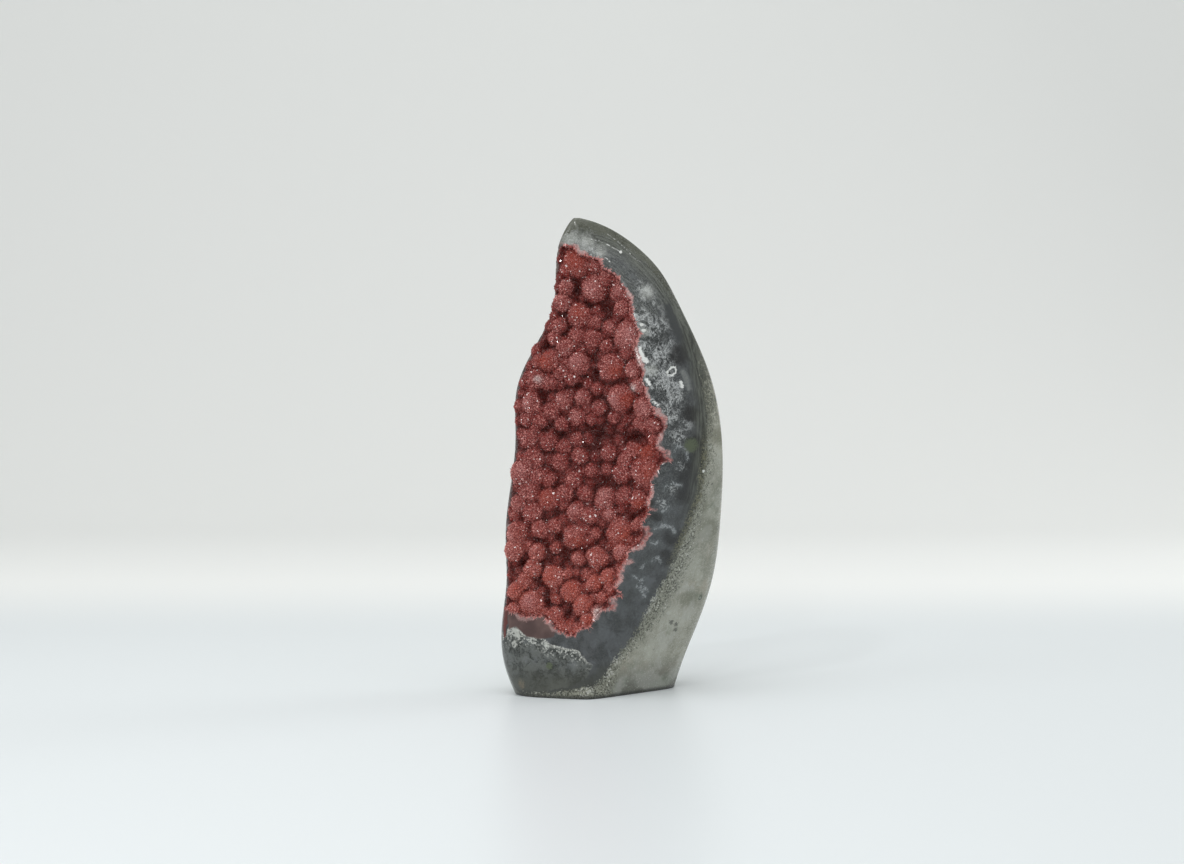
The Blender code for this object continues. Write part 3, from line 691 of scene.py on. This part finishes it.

    # The rocks side by side, then the single marks, the pale fringe round the crystals and the bed,
    # and last a painted contact shadow along the base.
    shoreline = shore.step(-0.6, -0.1) * (1 - shore.step(0.1, 0.9)) * fine
    dark = (mark("dark") + (place.noise(0.7, 4, 0.7) - 0.5) * 2.4).step(0.35, 0.8)
    seam = (mark("seam") + (place.noise(0.8, 3) - 0.5) * 1.3).step(0.06, 0.46)
    pale_edge = place.noise(6.5, 2).step(0.42, 0.6)
    fringe = (druzy + ragged * 2.6 - 0.7 + pale_edge * 1.1).step(-0.8, 0)
    fringe = fringe * (0.25 + mark("from left").step(0.5, 4) * 0.75)
    pinkish = (pale_edge * (0.3 + fine * 0.7)).tint((120, 66, 62), (196, 158, 154))
    layered(
        pale,
        ((basalt + ragged * 7.0 + (grain - 0.5) * 5).step(-1, 1), salt),
        ((agate + ragged * 3.0 + (grain - 0.5) * 2.6).step(-0.5, 0.5), slate),
        (shore.step(-0.3, 0.3), murk),
        (shoreline * agate.step(1, 3) * height.step(12, 15), (186, 187, 180)),
        ((mark("green") * (fine * 0.6 + 0.7)).step(0.3, 0.8), (78, 86, 66)),
        ((mark("tan") * (fine * 0.6 + 0.6)).step(0.3, 0.9), (98, 92, 78)),
        (dark * 0.75, (54, 55, 48)),
        ((mark("brown") + ragged).step(-0.3, 0.4), cloud.tint((70, 52, 50), (92, 72, 68))),
        ((mark("drip") + ragged * 3).step(-0.2, 0.5), (86, 38, 33)),
        ((mark("white") + ragged * 1.2).step(0.5, 0.7), (206, 207, 203)),
        (seam * 0.9, (224, 225, 222)),
        (fringe * (0.4 + height.step(28, 42) * 0.45), pinkish),
        ((druzy + ragged).step(0.6, 1.2), (84, 30, 27)),
        # Painted shadow: a dark line where the base meets the table.
        ((1 - height.step(0.5, 2.2)) * 0.85, (32, 34, 30)),
    ).feed(shader, "Base Color")

    rock = 1 - (agate + ragged).step(-0.4, 0.4)
    (0.10 + fringe * 0.2 + rock * (0.06 + grain * 0.12) + fine * 0.04).feed(shader, "Roughness")
    relief = place.noise(16, 1) * 0.8 + grain * rock * 0.02 + seam * -0.06 + fringe * fine * 0.15
    relief.bump(0.6, 0.4).feed(shader, "Normal")
    return made


polished_stone.data.materials.append(finish_stone())

# The druzy crust
# Red quartz that lines the hollow: round lumps grown into each other, stained by iron oxide.
# It has grown fast onto the bed in the stone, and at its edge it is cut and polished with it.

# Column, row and radius of each lump as read in the photograph, from the top down.
LUMPS_SEEN = [
    (572, 262, 12), (592, 262, 7), (604, 275, 7), (590, 286, 12), (617, 290, 9), (622, 306, 9),
    (575, 314, 10), (563, 288, 6), (559, 303, 6), (606, 326, 8), (627, 335, 13), (603, 345, 6),
    (588, 337, 8), (573, 335, 7), (557, 325, 6), (562, 346, 8), (552, 338, 5), (591, 320, 6),
    (547, 359, 9), (575, 363, 10), (608, 367, 13), (625, 353, 7), (633, 370, 8), (532, 377, 8),
    (545, 381, 8), (558, 372, 7), (567, 379, 6), (640, 386, 8), (594, 388, 6), (619, 399, 12),
    (580, 398, 7), (560, 401, 9), (527, 403, 9), (645, 408, 10), (596, 408, 6), (573, 418, 8),
    (588, 419, 5), (548, 411, 7), (536, 420, 6), (522, 420, 5), (557, 425, 6), (640, 426, 7),
    (655, 425, 7), (612, 418, 6), (545, 442, 8), (523, 439, 7), (560, 447, 8), (574, 441, 6),
    (633, 450, 8), (649, 453, 8), (530, 458, 8), (645, 472, 13), (624, 460, 7), (606, 453, 7),
    (620, 474, 8), (605, 469, 6), (556, 463, 7), (576, 457, 7), (588, 470, 7), (515, 473, 9),
    (533, 475, 8), (570, 481, 7), (546, 480, 6), (655, 440, 6), (602, 498, 10), (622, 496, 9),
    (638, 500, 8), (545, 499, 9), (526, 491, 9), (529, 512, 9), (515, 504, 6), (561, 494, 7),
    (581, 494, 7), (573, 512, 8), (587, 515, 7), (607, 513, 6), (617, 530, 13), (638, 525, 6),
    (570, 536, 10), (592, 533, 5), (552, 525, 7), (538, 528, 7), (513, 534, 10), (509, 551, 8),
    (535, 552, 7), (553, 545, 6), (594, 557, 10), (575, 558, 7), (620, 552, 8), (530, 568, 7),
    (550, 575, 9), (583, 574, 6), (564, 572, 5), (592, 583, 7), (607, 576, 7), (522, 581, 6),
    (568, 589, 10), (610, 589, 6), (511, 590, 6), (528, 602, 11), (552, 597, 5), (580, 604, 9),
    (552, 613, 7), (601, 598, 6), (510, 608, 5), (568, 624, 7), (586, 620, 7), (539, 613, 5),
    (556, 628, 5), (596, 610, 5),
]
HOLLOWS_SEEN = [
    (573, 288, 5, 2), (604, 304, 5, 1.2), (543, 345, 5, 2.4), (593, 373, 4, 1.8),
    (597, 434, 7, 2.6), (634, 437, 7, 3), (557, 437, 5, 1.5), (539, 396, 4, 1.3),
    (603, 481, 4, 1.8), (630, 517, 4, 1.6), (606, 590, 3, 1.2), (566, 612, 4, 1.3),
    (544, 600, 4, 1.3), (556, 537, 5, 1.2), (521, 563, 5, 1.3), (586, 544, 4, 1.2),
    (585, 305, 4, 1.3), (576, 386, 4, 1.2),
]
# Lumps stained orange by iron, and lumps under a frost of clearer crystals,
# whose tops also get a paler painted highlight.
WARM_SEEN = [
    (573, 260, 12), (577, 311, 7), (544, 361, 9), (614, 371, 8), (626, 400, 8), (645, 451, 11),
    (651, 474, 11), (545, 497, 9), (576, 541, 5), (622, 534, 9), (638, 505, 8), (548, 575, 8),
    (570, 590, 9), (580, 602, 8), (595, 580, 7), (590, 618, 7), (607, 577, 6), (515, 592, 8),
]
FROST_AND_HIGHLIGHT_SEEN = [
    (588, 288, 9), (618, 290, 8), (630, 336, 13), (571, 359, 10), (632, 372, 7), (541, 380, 5),
    (640, 386, 8), (609, 402, 9), (644, 408, 9), (570, 416, 7), (577, 397, 6), (519, 470, 8),
    (600, 495, 9), (607, 514, 6), (569, 511, 7), (574, 557, 7), (528, 600, 8), (508, 536, 5),
    (619, 552, 8), (567, 606, 5), (606, 322, 6), (524, 402, 7), (556, 398, 6), (596, 612, 6),
]
# Spots painted white as glints of light on the crust, most of them by its right edge.
PAINTED_GLINTS_SEEN = [
    (639, 350, 3), (640, 356, 3), (642, 362, 3), (632, 388, 3), (537, 379, 3), (647, 383, 2),
    (597, 612, 5),
]
SPOT_SHARPNESS = 2.4
LENS, SENSOR = 70.0, 36.0
PHOTO_WIDTH, PHOTO_CENTRE, PHOTO_HORIZON = 1184, 592, 372
CAMERA_X, CAMERA_Y, CAMERA_Z = -7.44, -854, 121.9
RIDGE_NEAR = 15.0
SMALL_TRIES, SMALL_RADII, SMALL_CROWDING = 3000, (1.3, 2.4), 0.8
LUMP_SWELL, LUMP_RISE, LUMP_MIDDLE = 1.5, 0.5, 3.2
LUMP_FUSE, LUMP_UNEVEN, LEAST_LEVEL = 0.22, 0.28, 2.7
# Slow waves that push the lumps out of round, as reach and waves per millimetre.
WARPS = [(0.3, 0.42), (0.14, 0.95)]
SMALL_SUNK = 0.9
# Lumps near the left rim stand prouder: by how much, and how soon that fades inwards.
RIM_PROUD, RIM_FADE = 1.7, 6.0
# Level of the lumps' tops: at the left rim, its sag, its fall to the ridge and its slow wave.
LEVEL_LEFT, LEVEL_SAG, LEVEL_FALL, LEVEL_WAVE = 1.2, 2.8, 1.6, 0.8
WAVE_ACROSS, WAVE_UP = (0.11, 0.9), (0.075, 0.4)
# The crust's edge: how far it stays under the face, and its slopes below, above and past it.
EDGE_DROP, EDGE_BELOW, EDGE_ABOVE, EDGE_PAST = 0.3, 1.3, 1.4, 1.6
BED_EDGE, BED_DEPTH, BED_SLOPE_WIDTH = 3.6, 9.5, 11.0
LEAST_THICKNESS = 1.2
SEED = 11

CRUST_TURNS, CRUST_HEIGHTS = (0.86, 2.5), (20.5, 172.5)
CRUST_COLUMNS, CRUST_ROWS = 144, 320
CRUST_THICKNESS = 2.4
BUMP_SIZE, BUMP_HEIGHT, BUMP_MIDDLE, DOME = 1.9, 0.26, 0.45, 0.72
# A point is on a crest from so far over its level, and in a crease from so far below that.
# The colours use this for painted shade in the creases and a painted highlight on the tops.
CREST_OVER, CREST_RANGE = 0.6, 3.4


def grown(placed, outline, tries, radii, crowding, seed):
    """The lumps so far with seeded ones added between them, shrinking from the second radius."""
    chance = random.Random(seed)
    placed = list(placed)
    low, high = outline.min(axis=0), outline.max(axis=0)
    for attempt in range(tries):
        x, z = chance.uniform(low[0], high[0]), chance.uniform(low[1], high[1])
        radius = radii[1] + (radii[0] - radii[1]) * attempt / tries
        clear = all(math.hypot(x - a, z - b) > crowding * (radius + c) for a, b, c in placed)
        if clear and inside(np.array([(x, z)]), outline)[0]:
            placed.append((x, z, radius))
    return placed


def bed_depth(points, outline):
    """Depth of the bed: a smooth step from its edge to its middle."""
    reach = np.clip(distance(points, outline) / BED_SLOPE_WIDTH, 0, 1)
    return BED_EDGE + (BED_DEPTH - BED_EDGE) * reach * reach * (3 - 2 * reach)


def crust_level(points):
    """Height of the lumps' tops over the polished face: proud at the left, sunk by the ridge."""
    corners = section(run_at(points[:, 1]))[0]
    left, ridge = corners[:, 1, 0], corners[:, 2, 0]
    across = np.clip((points[:, 0] - left) / (ridge - left), 0, 1.2)
    wave = LEVEL_WAVE * np.sin(WAVE_ACROSS[0] * points[:, 0] + WAVE_ACROSS[1])
    wave = wave * np.sin(WAVE_UP[0] * points[:, 1] + WAVE_UP[1])
    sag = LEVEL_SAG * np.sin(math.pi * np.minimum(across, 1))
    return LEVEL_LEFT - sag - LEVEL_FALL * across + wave


def small_bumps(points, size, seed):
    """Round bumps on a jittered grid: the highest of the nine nearest domes at each point."""
    cell = np.floor(points / size)
    best = np.zeros(len(points))
    for shift in np.stack(np.meshgrid((-1, 0, 1), (-1, 0, 1)), axis=-1).reshape(-1, 2):
        home = cell + shift
        mix = home @ np.array([12.9898, 78.233]) + seed
        jitter = np.column_stack([np.sin(mix) * 43758.5453 % 1, np.sin(mix + 5.1) * 24634.6345 % 1])
        away = np.linalg.norm(points - (home + jitter) * size, axis=1) / size
        best = np.maximum(best, np.sqrt(np.maximum(DOME ** 2 - away ** 2, 0)))
    return best


def from_photo(seen):
    """Spots seen in the photograph as X, Z and radius on the face, and what follows unchanged.

    A pixel is depth / focal length wide, and the face falls back to the left of its ridge.
    """
    seen = np.array(seen, float)
    focal = LENS / SENSOR * PHOTO_WIDTH
    depth = np.full(len(seen), -CAMERA_Y)
    for _ in range(2):
        x = CAMERA_X + (seen[:, 0] - PHOTO_CENTRE) * depth / focal
        depth = -CAMERA_Y + FACE_SLOPE * np.maximum(RIDGE_NEAR - x, 0)
    z = CAMERA_Z - (seen[:, 1] - PHOTO_HORIZON) * depth / focal
    return np.column_stack([x, z, seen[:, 2] * depth / focal, seen[:, 3:]])


def spots_on(points, seen):
    """How strongly the nearest seen spot covers each point."""
    return marks(points, from_photo(seen)[:, :3], SPOT_SHARPNESS)


main_lumps = from_photo(LUMPS_SEEN)
LUMPS = np.array(grown(main_lumps, TOOTHED, SMALL_TRIES, SMALL_RADII, SMALL_CROWDING, SEED))
LUMP_CENTRES = surface(*face_place(LUMPS[:, :2]))
LUMP_TOPS = crust_level(LUMPS[:, :2]) + LUMP_RISE * (LUMPS[:, 2] - LUMP_MIDDLE)
LUMP_TOPS[len(main_lumps):] -= SMALL_SUNK
LUMP_TOPS += np.random.default_rng(SEED).normal(0, LUMP_UNEVEN, len(LUMPS))
lump_from_rim = LUMPS[:, 0] - section(run_at(LUMPS[:, 1]))[0][:, 1, 0]
LUMP_TOPS[:len(main_lumps)] += RIM_PROUD * np.exp(-lump_from_rim[:len(main_lumps)] / RIM_FADE)


def crust_height(points, points_3d):
    """Height of the crust over the polished face, and each point's reach inside the druzy edge.

    Each lump is a ball whose top stands at its level. The balls melt into each other a little:
    the height is fuse * log(sum of exp(ball height / fuse)). Hollows and small bumps are added.
    """
    total = np.full(len(points), math.exp(-BED_DEPTH / LUMP_FUSE))
    for reach, rate in WARPS:
        others = rate * points_3d[:, (1, 2, 0)] + rate * points_3d[:, (2, 0, 1)]
        points_3d = points_3d + reach * np.sin(others)
    for centre, radius, top in zip(LUMP_CENTRES, LUMPS[:, 2], LUMP_TOPS):
        away = np.linalg.norm(points_3d - centre, axis=1)
        ball = LUMP_SWELL * radius
        near = away < ball
        rise = top - ball + np.sqrt(ball ** 2 - away[near] ** 2)
        total[near] += np.exp(rise / LUMP_FUSE)
    height = LUMP_FUSE * np.log(total)
    height = np.maximum(height, crust_level(points) - LEAST_LEVEL)
    for x, z, radius, depth in from_photo(HOLLOWS_SEEN):
        height -= depth * np.exp(-((points[:, 0] - x) ** 2 + (points[:, 1] - z) ** 2) / radius ** 2)
    height = height + BUMP_HEIGHT * (small_bumps(points, BUMP_SIZE, 3) - BUMP_MIDDLE)
    edge = reach_inside(points, TOOTHED)
    lowest = LEAST_THICKNESS - bed_depth(points, TOOTHED)
    lowest = np.maximum(lowest, -EDGE_DROP - EDGE_BELOW * edge)
    clipped = np.clip(height, lowest, EDGE_ABOVE * np.maximum(edge, 0) - EDGE_DROP)
    return np.where(edge > 0, clipped, -EDGE_DROP + EDGE_PAST * edge), edge


crust_turns = np.linspace(*CRUST_TURNS, CRUST_COLUMNS)
crust_runs = np.linspace(*run_at(np.array(CRUST_HEIGHTS)), CRUST_ROWS)
crust_turn, crust_run = (a.ravel() for a in np.meshgrid(crust_turns, crust_runs))
crust_front = front_plane(crust_turn, crust_run)
crust_rise, crust_reach = crust_height(crust_front, surface(crust_turn, crust_run))
crust_lift = normals(crust_turn, crust_run)
crust_points = surface(crust_turn, crust_run) + crust_rise[:, None] * crust_lift

corner = (np.arange(CRUST_ROWS - 1)[:, None] * CRUST_COLUMNS + np.arange(CRUST_COLUMNS - 1)).ravel()
crust_quads = corner[:, None] + np.array([0, 1, CRUST_COLUMNS + 1, CRUST_COLUMNS])
crust_quads = crust_quads[crust_reach[crust_quads].min(axis=1) > -1]
crest = np.clip(1.0 - (crust_level(crust_front) + CREST_OVER - crust_rise) / CREST_RANGE, 0, 1)


def closed_below(quads, points, down):
    """The sheet made a closed lens: a second sheet below it, joined where the first one ends."""
    edges = np.sort(np.stack([quads, np.roll(quads, -1, axis=1)], axis=-1).reshape(-1, 2), axis=1)
    pairs, times = np.unique(edges, axis=0, return_counts=True)
    rim = np.zeros(len(points), bool)
    rim[pairs[times == 1].ravel()] = True
    under = np.where(rim, np.arange(len(points)), np.arange(len(points)) + len(points))
    both = np.vstack([points, points - down])
    faces = np.vstack([quads, under[quads][:, ::-1]])
    used, places = np.unique(faces, return_inverse=True)
    return both[used], places.reshape(-1, 4), used % len(points)


ground_points, ground_quads, ground_own = closed_below(
    crust_quads, crust_points,
    CRUST_THICKNESS * crust_lift * np.clip(crust_reach, 0.05, 1)[:, None])
warm, frosted = spots_on(crust_front, WARM_SEEN), spots_on(crust_front, FROST_AND_HIGHLIGHT_SEEN)
painted_glint = spots_on(crust_front, PAINTED_GLINTS_SEEN)
druzy_ground = add_mesh("druzy_ground", ground_points, ground_quads.tolist(), {
    "crest": crest[ground_own],
    "warm": warm[ground_own],
    "reach": crust_reach[ground_own],
})


def part_of_crust(piece, finish):
    """Gives a piece of the crust its finish, hangs it on the root body and hides the CAD crust."""
    piece.data.materials.append(finish)
    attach(piece, "root")
    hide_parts("druzy_crust")


# Painted shade: the first red is the darkened red of the creases, WINE the red of the lump tops.
CREASE_SHADE_RED, WINE, ROSE, ORANGE = (68, 13, 7), (118, 35, 31), (190, 118, 114), (166, 62, 35)


def finish_ground():
    """Red rock under the points: painted shade in the creases, and a dusting of sugar-fine
    crystals.
    """
    made, shader, start = material("druzy_red_ground", IOR=1.54)
    mark, sugar = start.value, in_millimetres(start).grains(0.34)
    layered(
        mark("crest").step(0.1, 0.9).tint(CREASE_SHADE_RED, WINE),
        (mark("warm") * 0.5, ORANGE),
        (sugar.step(0.55, 1) * 0.5, ROSE),
        ((1 - mark("reach").step(0, 1.2)) * 0.6, (168, 112, 106)),
    ).feed(shader, "Base Color")
    (0.25 + sugar * 0.3).feed(shader, "Roughness")
    sugar.bump(0.9, 0.25).feed(shader, "Normal")
    return made


part_of_crust(druzy_ground, finish_ground())

# The quartz points
# The free ends of the quartz crystals: short six-sided points, packed side by side over every
# lump, clear at the tip over the red of the crust. They are made in five bands up the stone.

POINT_SIDES = 6
POINT_BANDS = (
    "quartz_points_low", "quartz_points_lower_middle", "quartz_points_middle",
    "quartz_points_upper_middle", "quartz_points_high")
POINTS_IN_BAND = 19000
POINT_RADIUS, POINT_SPREAD, POINT_RADII = 0.255, 0.34, (0.15, 0.9)
POINT_TALL, POINT_TILT, POINT_SUNK = (0.9, 1.6), 0.34, 0.3
# How unevenly the corners lie round the axis, and how far the tip strays from it.
POINT_UNEVEN, TIP_ASTRAY = (0.85, 1.15), 0.12
# Points are smaller by the druzy edge: their part of full size there, and its growth inwards.
EDGE_SIZE, EDGE_GROWTH = 0.5, 0.35

grid_triangles = np.vstack([crust_quads[:, (0, 1, 2)], crust_quads[:, (0, 2, 3)]])
grid_triangles = grid_triangles[np.argsort(grid_triangles[:, 0], kind="stable")]
grid_triangles = grid_triangles[crust_reach[grid_triangles].min(axis=1) > -0.1]
first, second, third = (crust_points[grid_triangles[:, k]] for k in range(3))
triangle_square = np.cross(second - first, third - first)
triangle_area = np.linalg.norm(triangle_square, axis=1)
area_so_far = np.cumsum(triangle_area)


def six_sided(foot, axis, size, tall, chance):
    """Closed six-sided points: a ring of corners round a leaning axis, a tip, and a flat base."""
    count = len(foot)
    axis = axis / np.linalg.norm(axis, axis=1)[:, None]
    side = np.cross(axis, chance.normal(0, 1, (count, 3)))
    side /= np.linalg.norm(side, axis=1)[:, None]
    other = np.cross(axis, side)
    angles = np.arange(POINT_SIDES) * 2 * math.pi / POINT_SIDES
    spread = size[:, None] * chance.uniform(*POINT_UNEVEN, (count, POINT_SIDES))
    ring = (foot[:, None] + (spread * np.cos(angles))[..., None] * side[:, None]
            + (spread * np.sin(angles))[..., None] * other[:, None]
            - (POINT_SUNK * size)[:, None, None] * axis[:, None])
    astray = chance.normal(0, TIP_ASTRAY, count) * size
    tip = foot + (size * tall)[:, None] * axis + astray[:, None] * side
    corners = np.concatenate([ring, tip[:, None]], axis=1).reshape(-1, 3)
    start = np.arange(count)[:, None] * (POINT_SIDES + 1)
    here = np.arange(POINT_SIDES)
    sides = np.stack([start + here, start + (here + 1) % POINT_SIDES,
                      np.broadcast_to(start + POINT_SIDES, (count, POINT_SIDES))], axis=-1)
    return corners, sides.reshape(-1, 3).tolist() + (start + here[::-1]).tolist()


def quartz_points(band, count, chance):
    """The points on one band of the crust, as corners, faces and values.

    Places are drawn evenly by area over the crust's triangles, and each point stands square to
    its triangle, tilted by chance. Sizes are POINT_RADIUS * exp(spread * chance).
    """
    share = (band + (np.arange(count) + chance.random(count)) / count) / len(POINT_BANDS)
    picks = np.minimum(np.searchsorted(area_so_far, share * area_so_far[-1]), len(area_so_far) - 1)
    a, b = np.sqrt(chance.random(count))[:, None], chance.random(count)[:, None]
    foot = (1 - a) * first[picks] + a * (1 - b) * second[picks] + a * b * third[picks]
    axis = triangle_square[picks] / triangle_area[picks, None]
    axis = axis + chance.normal(0, POINT_TILT, (count, 3))
    size = np.clip(POINT_RADIUS * np.exp(chance.normal(0, POINT_SPREAD, count)), *POINT_RADII)
    edge = crust_reach[grid_triangles[picks]].mean(axis=1)
    size *= np.clip(EDGE_SIZE + EDGE_GROWTH * edge, 0, 1)
    corners, faces = six_sided(foot, axis, size, chance.uniform(*POINT_TALL, count), chance)
    values = {
        "chance": np.repeat(chance.random(count), POINT_SIDES + 1),
        "tip": np.tile(np.append(np.zeros(POINT_SIDES), 1), count),
    }
    grids = {"crest": crest, "warm": warm, "frosted": frosted, "painted_glint": painted_glint, "reach": crust_reach}
    for label, grid in grids.items():
        values[label] = np.repeat(grid[grid_triangles[picks]].mean(axis=1), POINT_SIDES + 1)
    return corners, faces, values


def finish_points():
    """Clear quartz over red: dark red at the foot, rose at the tip, and a few points pure white.

    Painted light: shade in the creases, a rose and frosty highlight on the lump tops, and
    glints painted white on a few points and at the glint spots.
    """
    made, shader, start = material(
        "druzy_quartz_points", IOR=1.54, Specular_IOR_Level=0.34, Sheen_Weight=0.1,
        Sheen_Roughness=0.4, Sheen_Tint=paint(255, 226, 224))
    place, mark = in_millimetres(start), start.value
    crest, luck, warm, frosted = (mark(name) for name in ("crest", "chance", "warm", "frosted"))
    # Painted shade: where deep is low, in the creases, the points are painted darker.
    deep = crest.step(0, 0.56)
    low = 1 - place.part(2).step(42, 80)
    # Painted highlight: the rose and frost coats lighten the lump tops by the crest value, the
    # frosted lumps most; the frost is partly the crystals' own paler tone.
    rosy_highlight = luck.step(0.45, 0.85) * crest.step(0.1, 0.8) * (0.78 + frosted * 0.22 - warm * 0.45)
    frost_and_highlight = 0.2 + frosted * 0.6 + place.noise(9, 2).step(0.5, 0.7) * 0.3
    rim = (1 - mark("reach").step(0.4, 1.5)) * place.noise(4, 2).step(0.42, 0.6)
    head = layered(
        (luck.step(0, 0.5) * deep).tint((84, 22, 16), (146, 57, 52)),
        (warm * crest.step(0.2, 0.6) * 0.9, ORANGE),
        # Painted highlight: the lower tops lighter and more orange.
        (low * crest.step(0.15, 0.7) * 0.45, (216, 118, 100)),
        (rosy_highlight, (238, 170, 162)),
        (frost_and_highlight * crest.step(0.32, 0.92) * 0.76, frosted.tint((198, 137, 131), (216, 158, 154))),
        (rim * 0.7, (198, 144, 140)))
    layered(
        deep.tint(CREASE_SHADE_RED, WINE),
        (mark("tip").step(0, 0.8), head),
        # Painted glints: white at the glint spots, and on about one top point in a hundred.
        (mark("painted_glint") * (0.4 + luck * 0.6), (236, 224, 220)),
        (luck.step(0.988, 0.989) * crest.step(0.15, 0.5), (252, 240, 238)),
    ).feed(shader, "Base Color")
    (0.05 + luck * 0.3).feed(shader, "Roughness")
    return made


point_chance = np.random.default_rng(21)
point_finish = finish_points()
for number, name in enumerate(POINT_BANDS):
    corners, faces, values = quartz_points(number, POINTS_IN_BAND, point_chance)
    part_of_crust(add_mesh(name, corners, faces, values, smooth=False), point_finish)

# The points along the cut edge
# Where the crust meets the agate the cut has left its longest crystals, as a fringe of teeth
# that lean outwards over the polished face.

TOOTH_COUNT = 1100
TOOTH_RADIUS, TOOTH_TALL, TOOTH_OUTWARD = (0.22, 0.5), (1.8, 3.4), (3, 9)
TOOTH_SUNK, TOOTH_INSIDE, STEP_AHEAD = 0.32, (0.1, 1.1), 0.2


def quartz_teeth(chance):
    """The teeth, as corners, faces and values: their places are drawn evenly along the edge."""
    line = TOOTHED[:TOOTH_PIECES * len(DRUZY_EDGE)]
    sides = np.diff(line, axis=0)
    lengths = np.linalg.norm(sides, axis=1)
    pick = np.searchsorted(np.cumsum(lengths), chance.random(TOOTH_COUNT) * lengths.sum())
    pick = np.minimum(pick, len(sides) - 1)
    along = sides[pick] / lengths[pick, None]
    out = np.column_stack([-along[:, 1], along[:, 0]])
    foot = line[pick] + chance.random((TOOTH_COUNT, 1)) * sides[pick]
    foot = foot - out * chance.uniform(*TOOTH_INSIDE, (TOOTH_COUNT, 1))
    place = face_place(foot)
    base, square = surface(*place), normals(*place)
    ahead = surface(*face_place(foot + STEP_AHEAD * out)) - base
    ahead /= np.linalg.norm(ahead, axis=1)[:, None]
    axis = square + chance.uniform(*TOOTH_OUTWARD, (TOOTH_COUNT, 1)) * ahead
    size, tall = (chance.uniform(*ends, TOOTH_COUNT) for ends in (TOOTH_RADIUS, TOOTH_TALL))
    corners, faces = six_sided(base - TOOTH_SUNK * square, axis, size, tall, chance)
    each = {
        "warm": spots_on(foot, WARM_SEEN),
        "painted_glint": spots_on(foot, PAINTED_GLINTS_SEEN),
        "chance": chance.uniform(0.4, 1, TOOTH_COUNT),
    }
    values = {label: np.repeat(value, POINT_SIDES + 1) for label, value in each.items()}
    for label, value in {"crest": 0.9, "reach": 0.2, "frosted": 0.3}.items():
        values[label] = np.full(len(corners), value)
    values["tip"] = np.tile(np.append(np.full(POINT_SIDES, 0.3), 1), TOOTH_COUNT)
    return corners, faces, values


part_of_crust(add_mesh("quartz_teeth", *quartz_teeth(point_chance), smooth=False), point_finish)

# The table, the backdrop, the light and the camera
# A white sweep under soft light from above and both sides. The camera stands level with the upper
# half of the stone and looks down on it by a degree and a half.

CAMERA_TILT = math.radians(1.493)
# The sweep: half its width, where its floor begins and ends, the bend's radius, and its top.
SWEEP_HALF, SWEEP_FRONT, SWEEP_BACK, SWEEP_BEND, SWEEP_TOP = 3000, -2500, 900, 700, 2600


def finish_sweep():
    """White board, a little bluer and darker where it lies flat as the table."""
    made, shader, start = material("studio_white", Roughness=0.38, Specular_IOR_Level=0.32)
    back = in_millimetres(start).part(1).step(180, 480)
    back.tint((219, 224, 226), (245, 246, 244)).feed(shader, "Base Color")
    return made


def sweep():
    """A floor that rises into a wall: flat, a quarter circle, then upright, swept across."""
    angles = np.linspace(0, math.pi / 2, 25)
    bend = SWEEP_BEND * np.column_stack([np.sin(angles), 1 - np.cos(angles)])
    profile = np.vstack([(SWEEP_FRONT, 0), (SWEEP_BACK, 0), bend + (SWEEP_BACK, 0),
                         (SWEEP_BACK + SWEEP_BEND, SWEEP_TOP)])
    left = np.column_stack([np.full(len(profile), -SWEEP_HALF), profile])
    right = left * (-1, 1, 1)
    size = len(profile)
    quads = [(i, i + size, i + size + 1, i + 1) for i in range(size - 1)]
    return add_mesh("studio_sweep", np.vstack([left, right]), quads)


backdrop = sweep()
backdrop.data.materials.append(finish_sweep())


def area_light(name, place, target, size, power):
    """A square softbox at a place in millimetres, turned to its target."""
    lamp = bpy.data.lights.new(name, "AREA")
    lamp.size, lamp.energy = size * MM, power
    light = bpy.data.objects.new(name, lamp)
    light.location = Vector(place) * MM
    light.rotation_euler = (Vector(target) - Vector(place)).to_track_quat("-Z", "Y").to_euler()
    bpy.context.scene.collection.objects.link(light)


area_light("top_softbox", (-150, -100, 1100), (0, 0, 60), 900, 4.5)
area_light("left_softbox", (-900, -500, 800), (0, 0, 90), 600, 2.1)
area_light("right_softbox", (1000, 500, 500), (0, 0, 90), 500, 3)
area_light("key_sparkle", (-500, -900, 900), (0, 0, 90), 70, 2.2)
area_light("side_sparkle", (-200, -1000, 500), (0, 0, 90), 60, 1.3)

world = bpy.data.worlds.new("studio")
world.use_nodes = True
sky = world.node_tree.nodes["Background"].inputs
sky["Color"].default_value, sky["Strength"].default_value = paint(236, 238, 238), 0.70
bpy.context.scene.world = world
bpy.context.scene.view_settings.view_transform = "Standard"

camera_data = bpy.data.cameras.new("photo_camera")
camera_data.lens, camera_data.sensor_width = LENS, SENSOR
camera = bpy.data.objects.new("photo_camera", camera_data)
camera.location = Vector((CAMERA_X - ORIGIN[0], CAMERA_Y - ORIGIN[1], CAMERA_Z)) * MM
camera.rotation_euler = (math.pi / 2 - CAMERA_TILT, 0, 0)
bpy.context.scene.collection.objects.link(camera)
bpy.context.scene.camera = camera
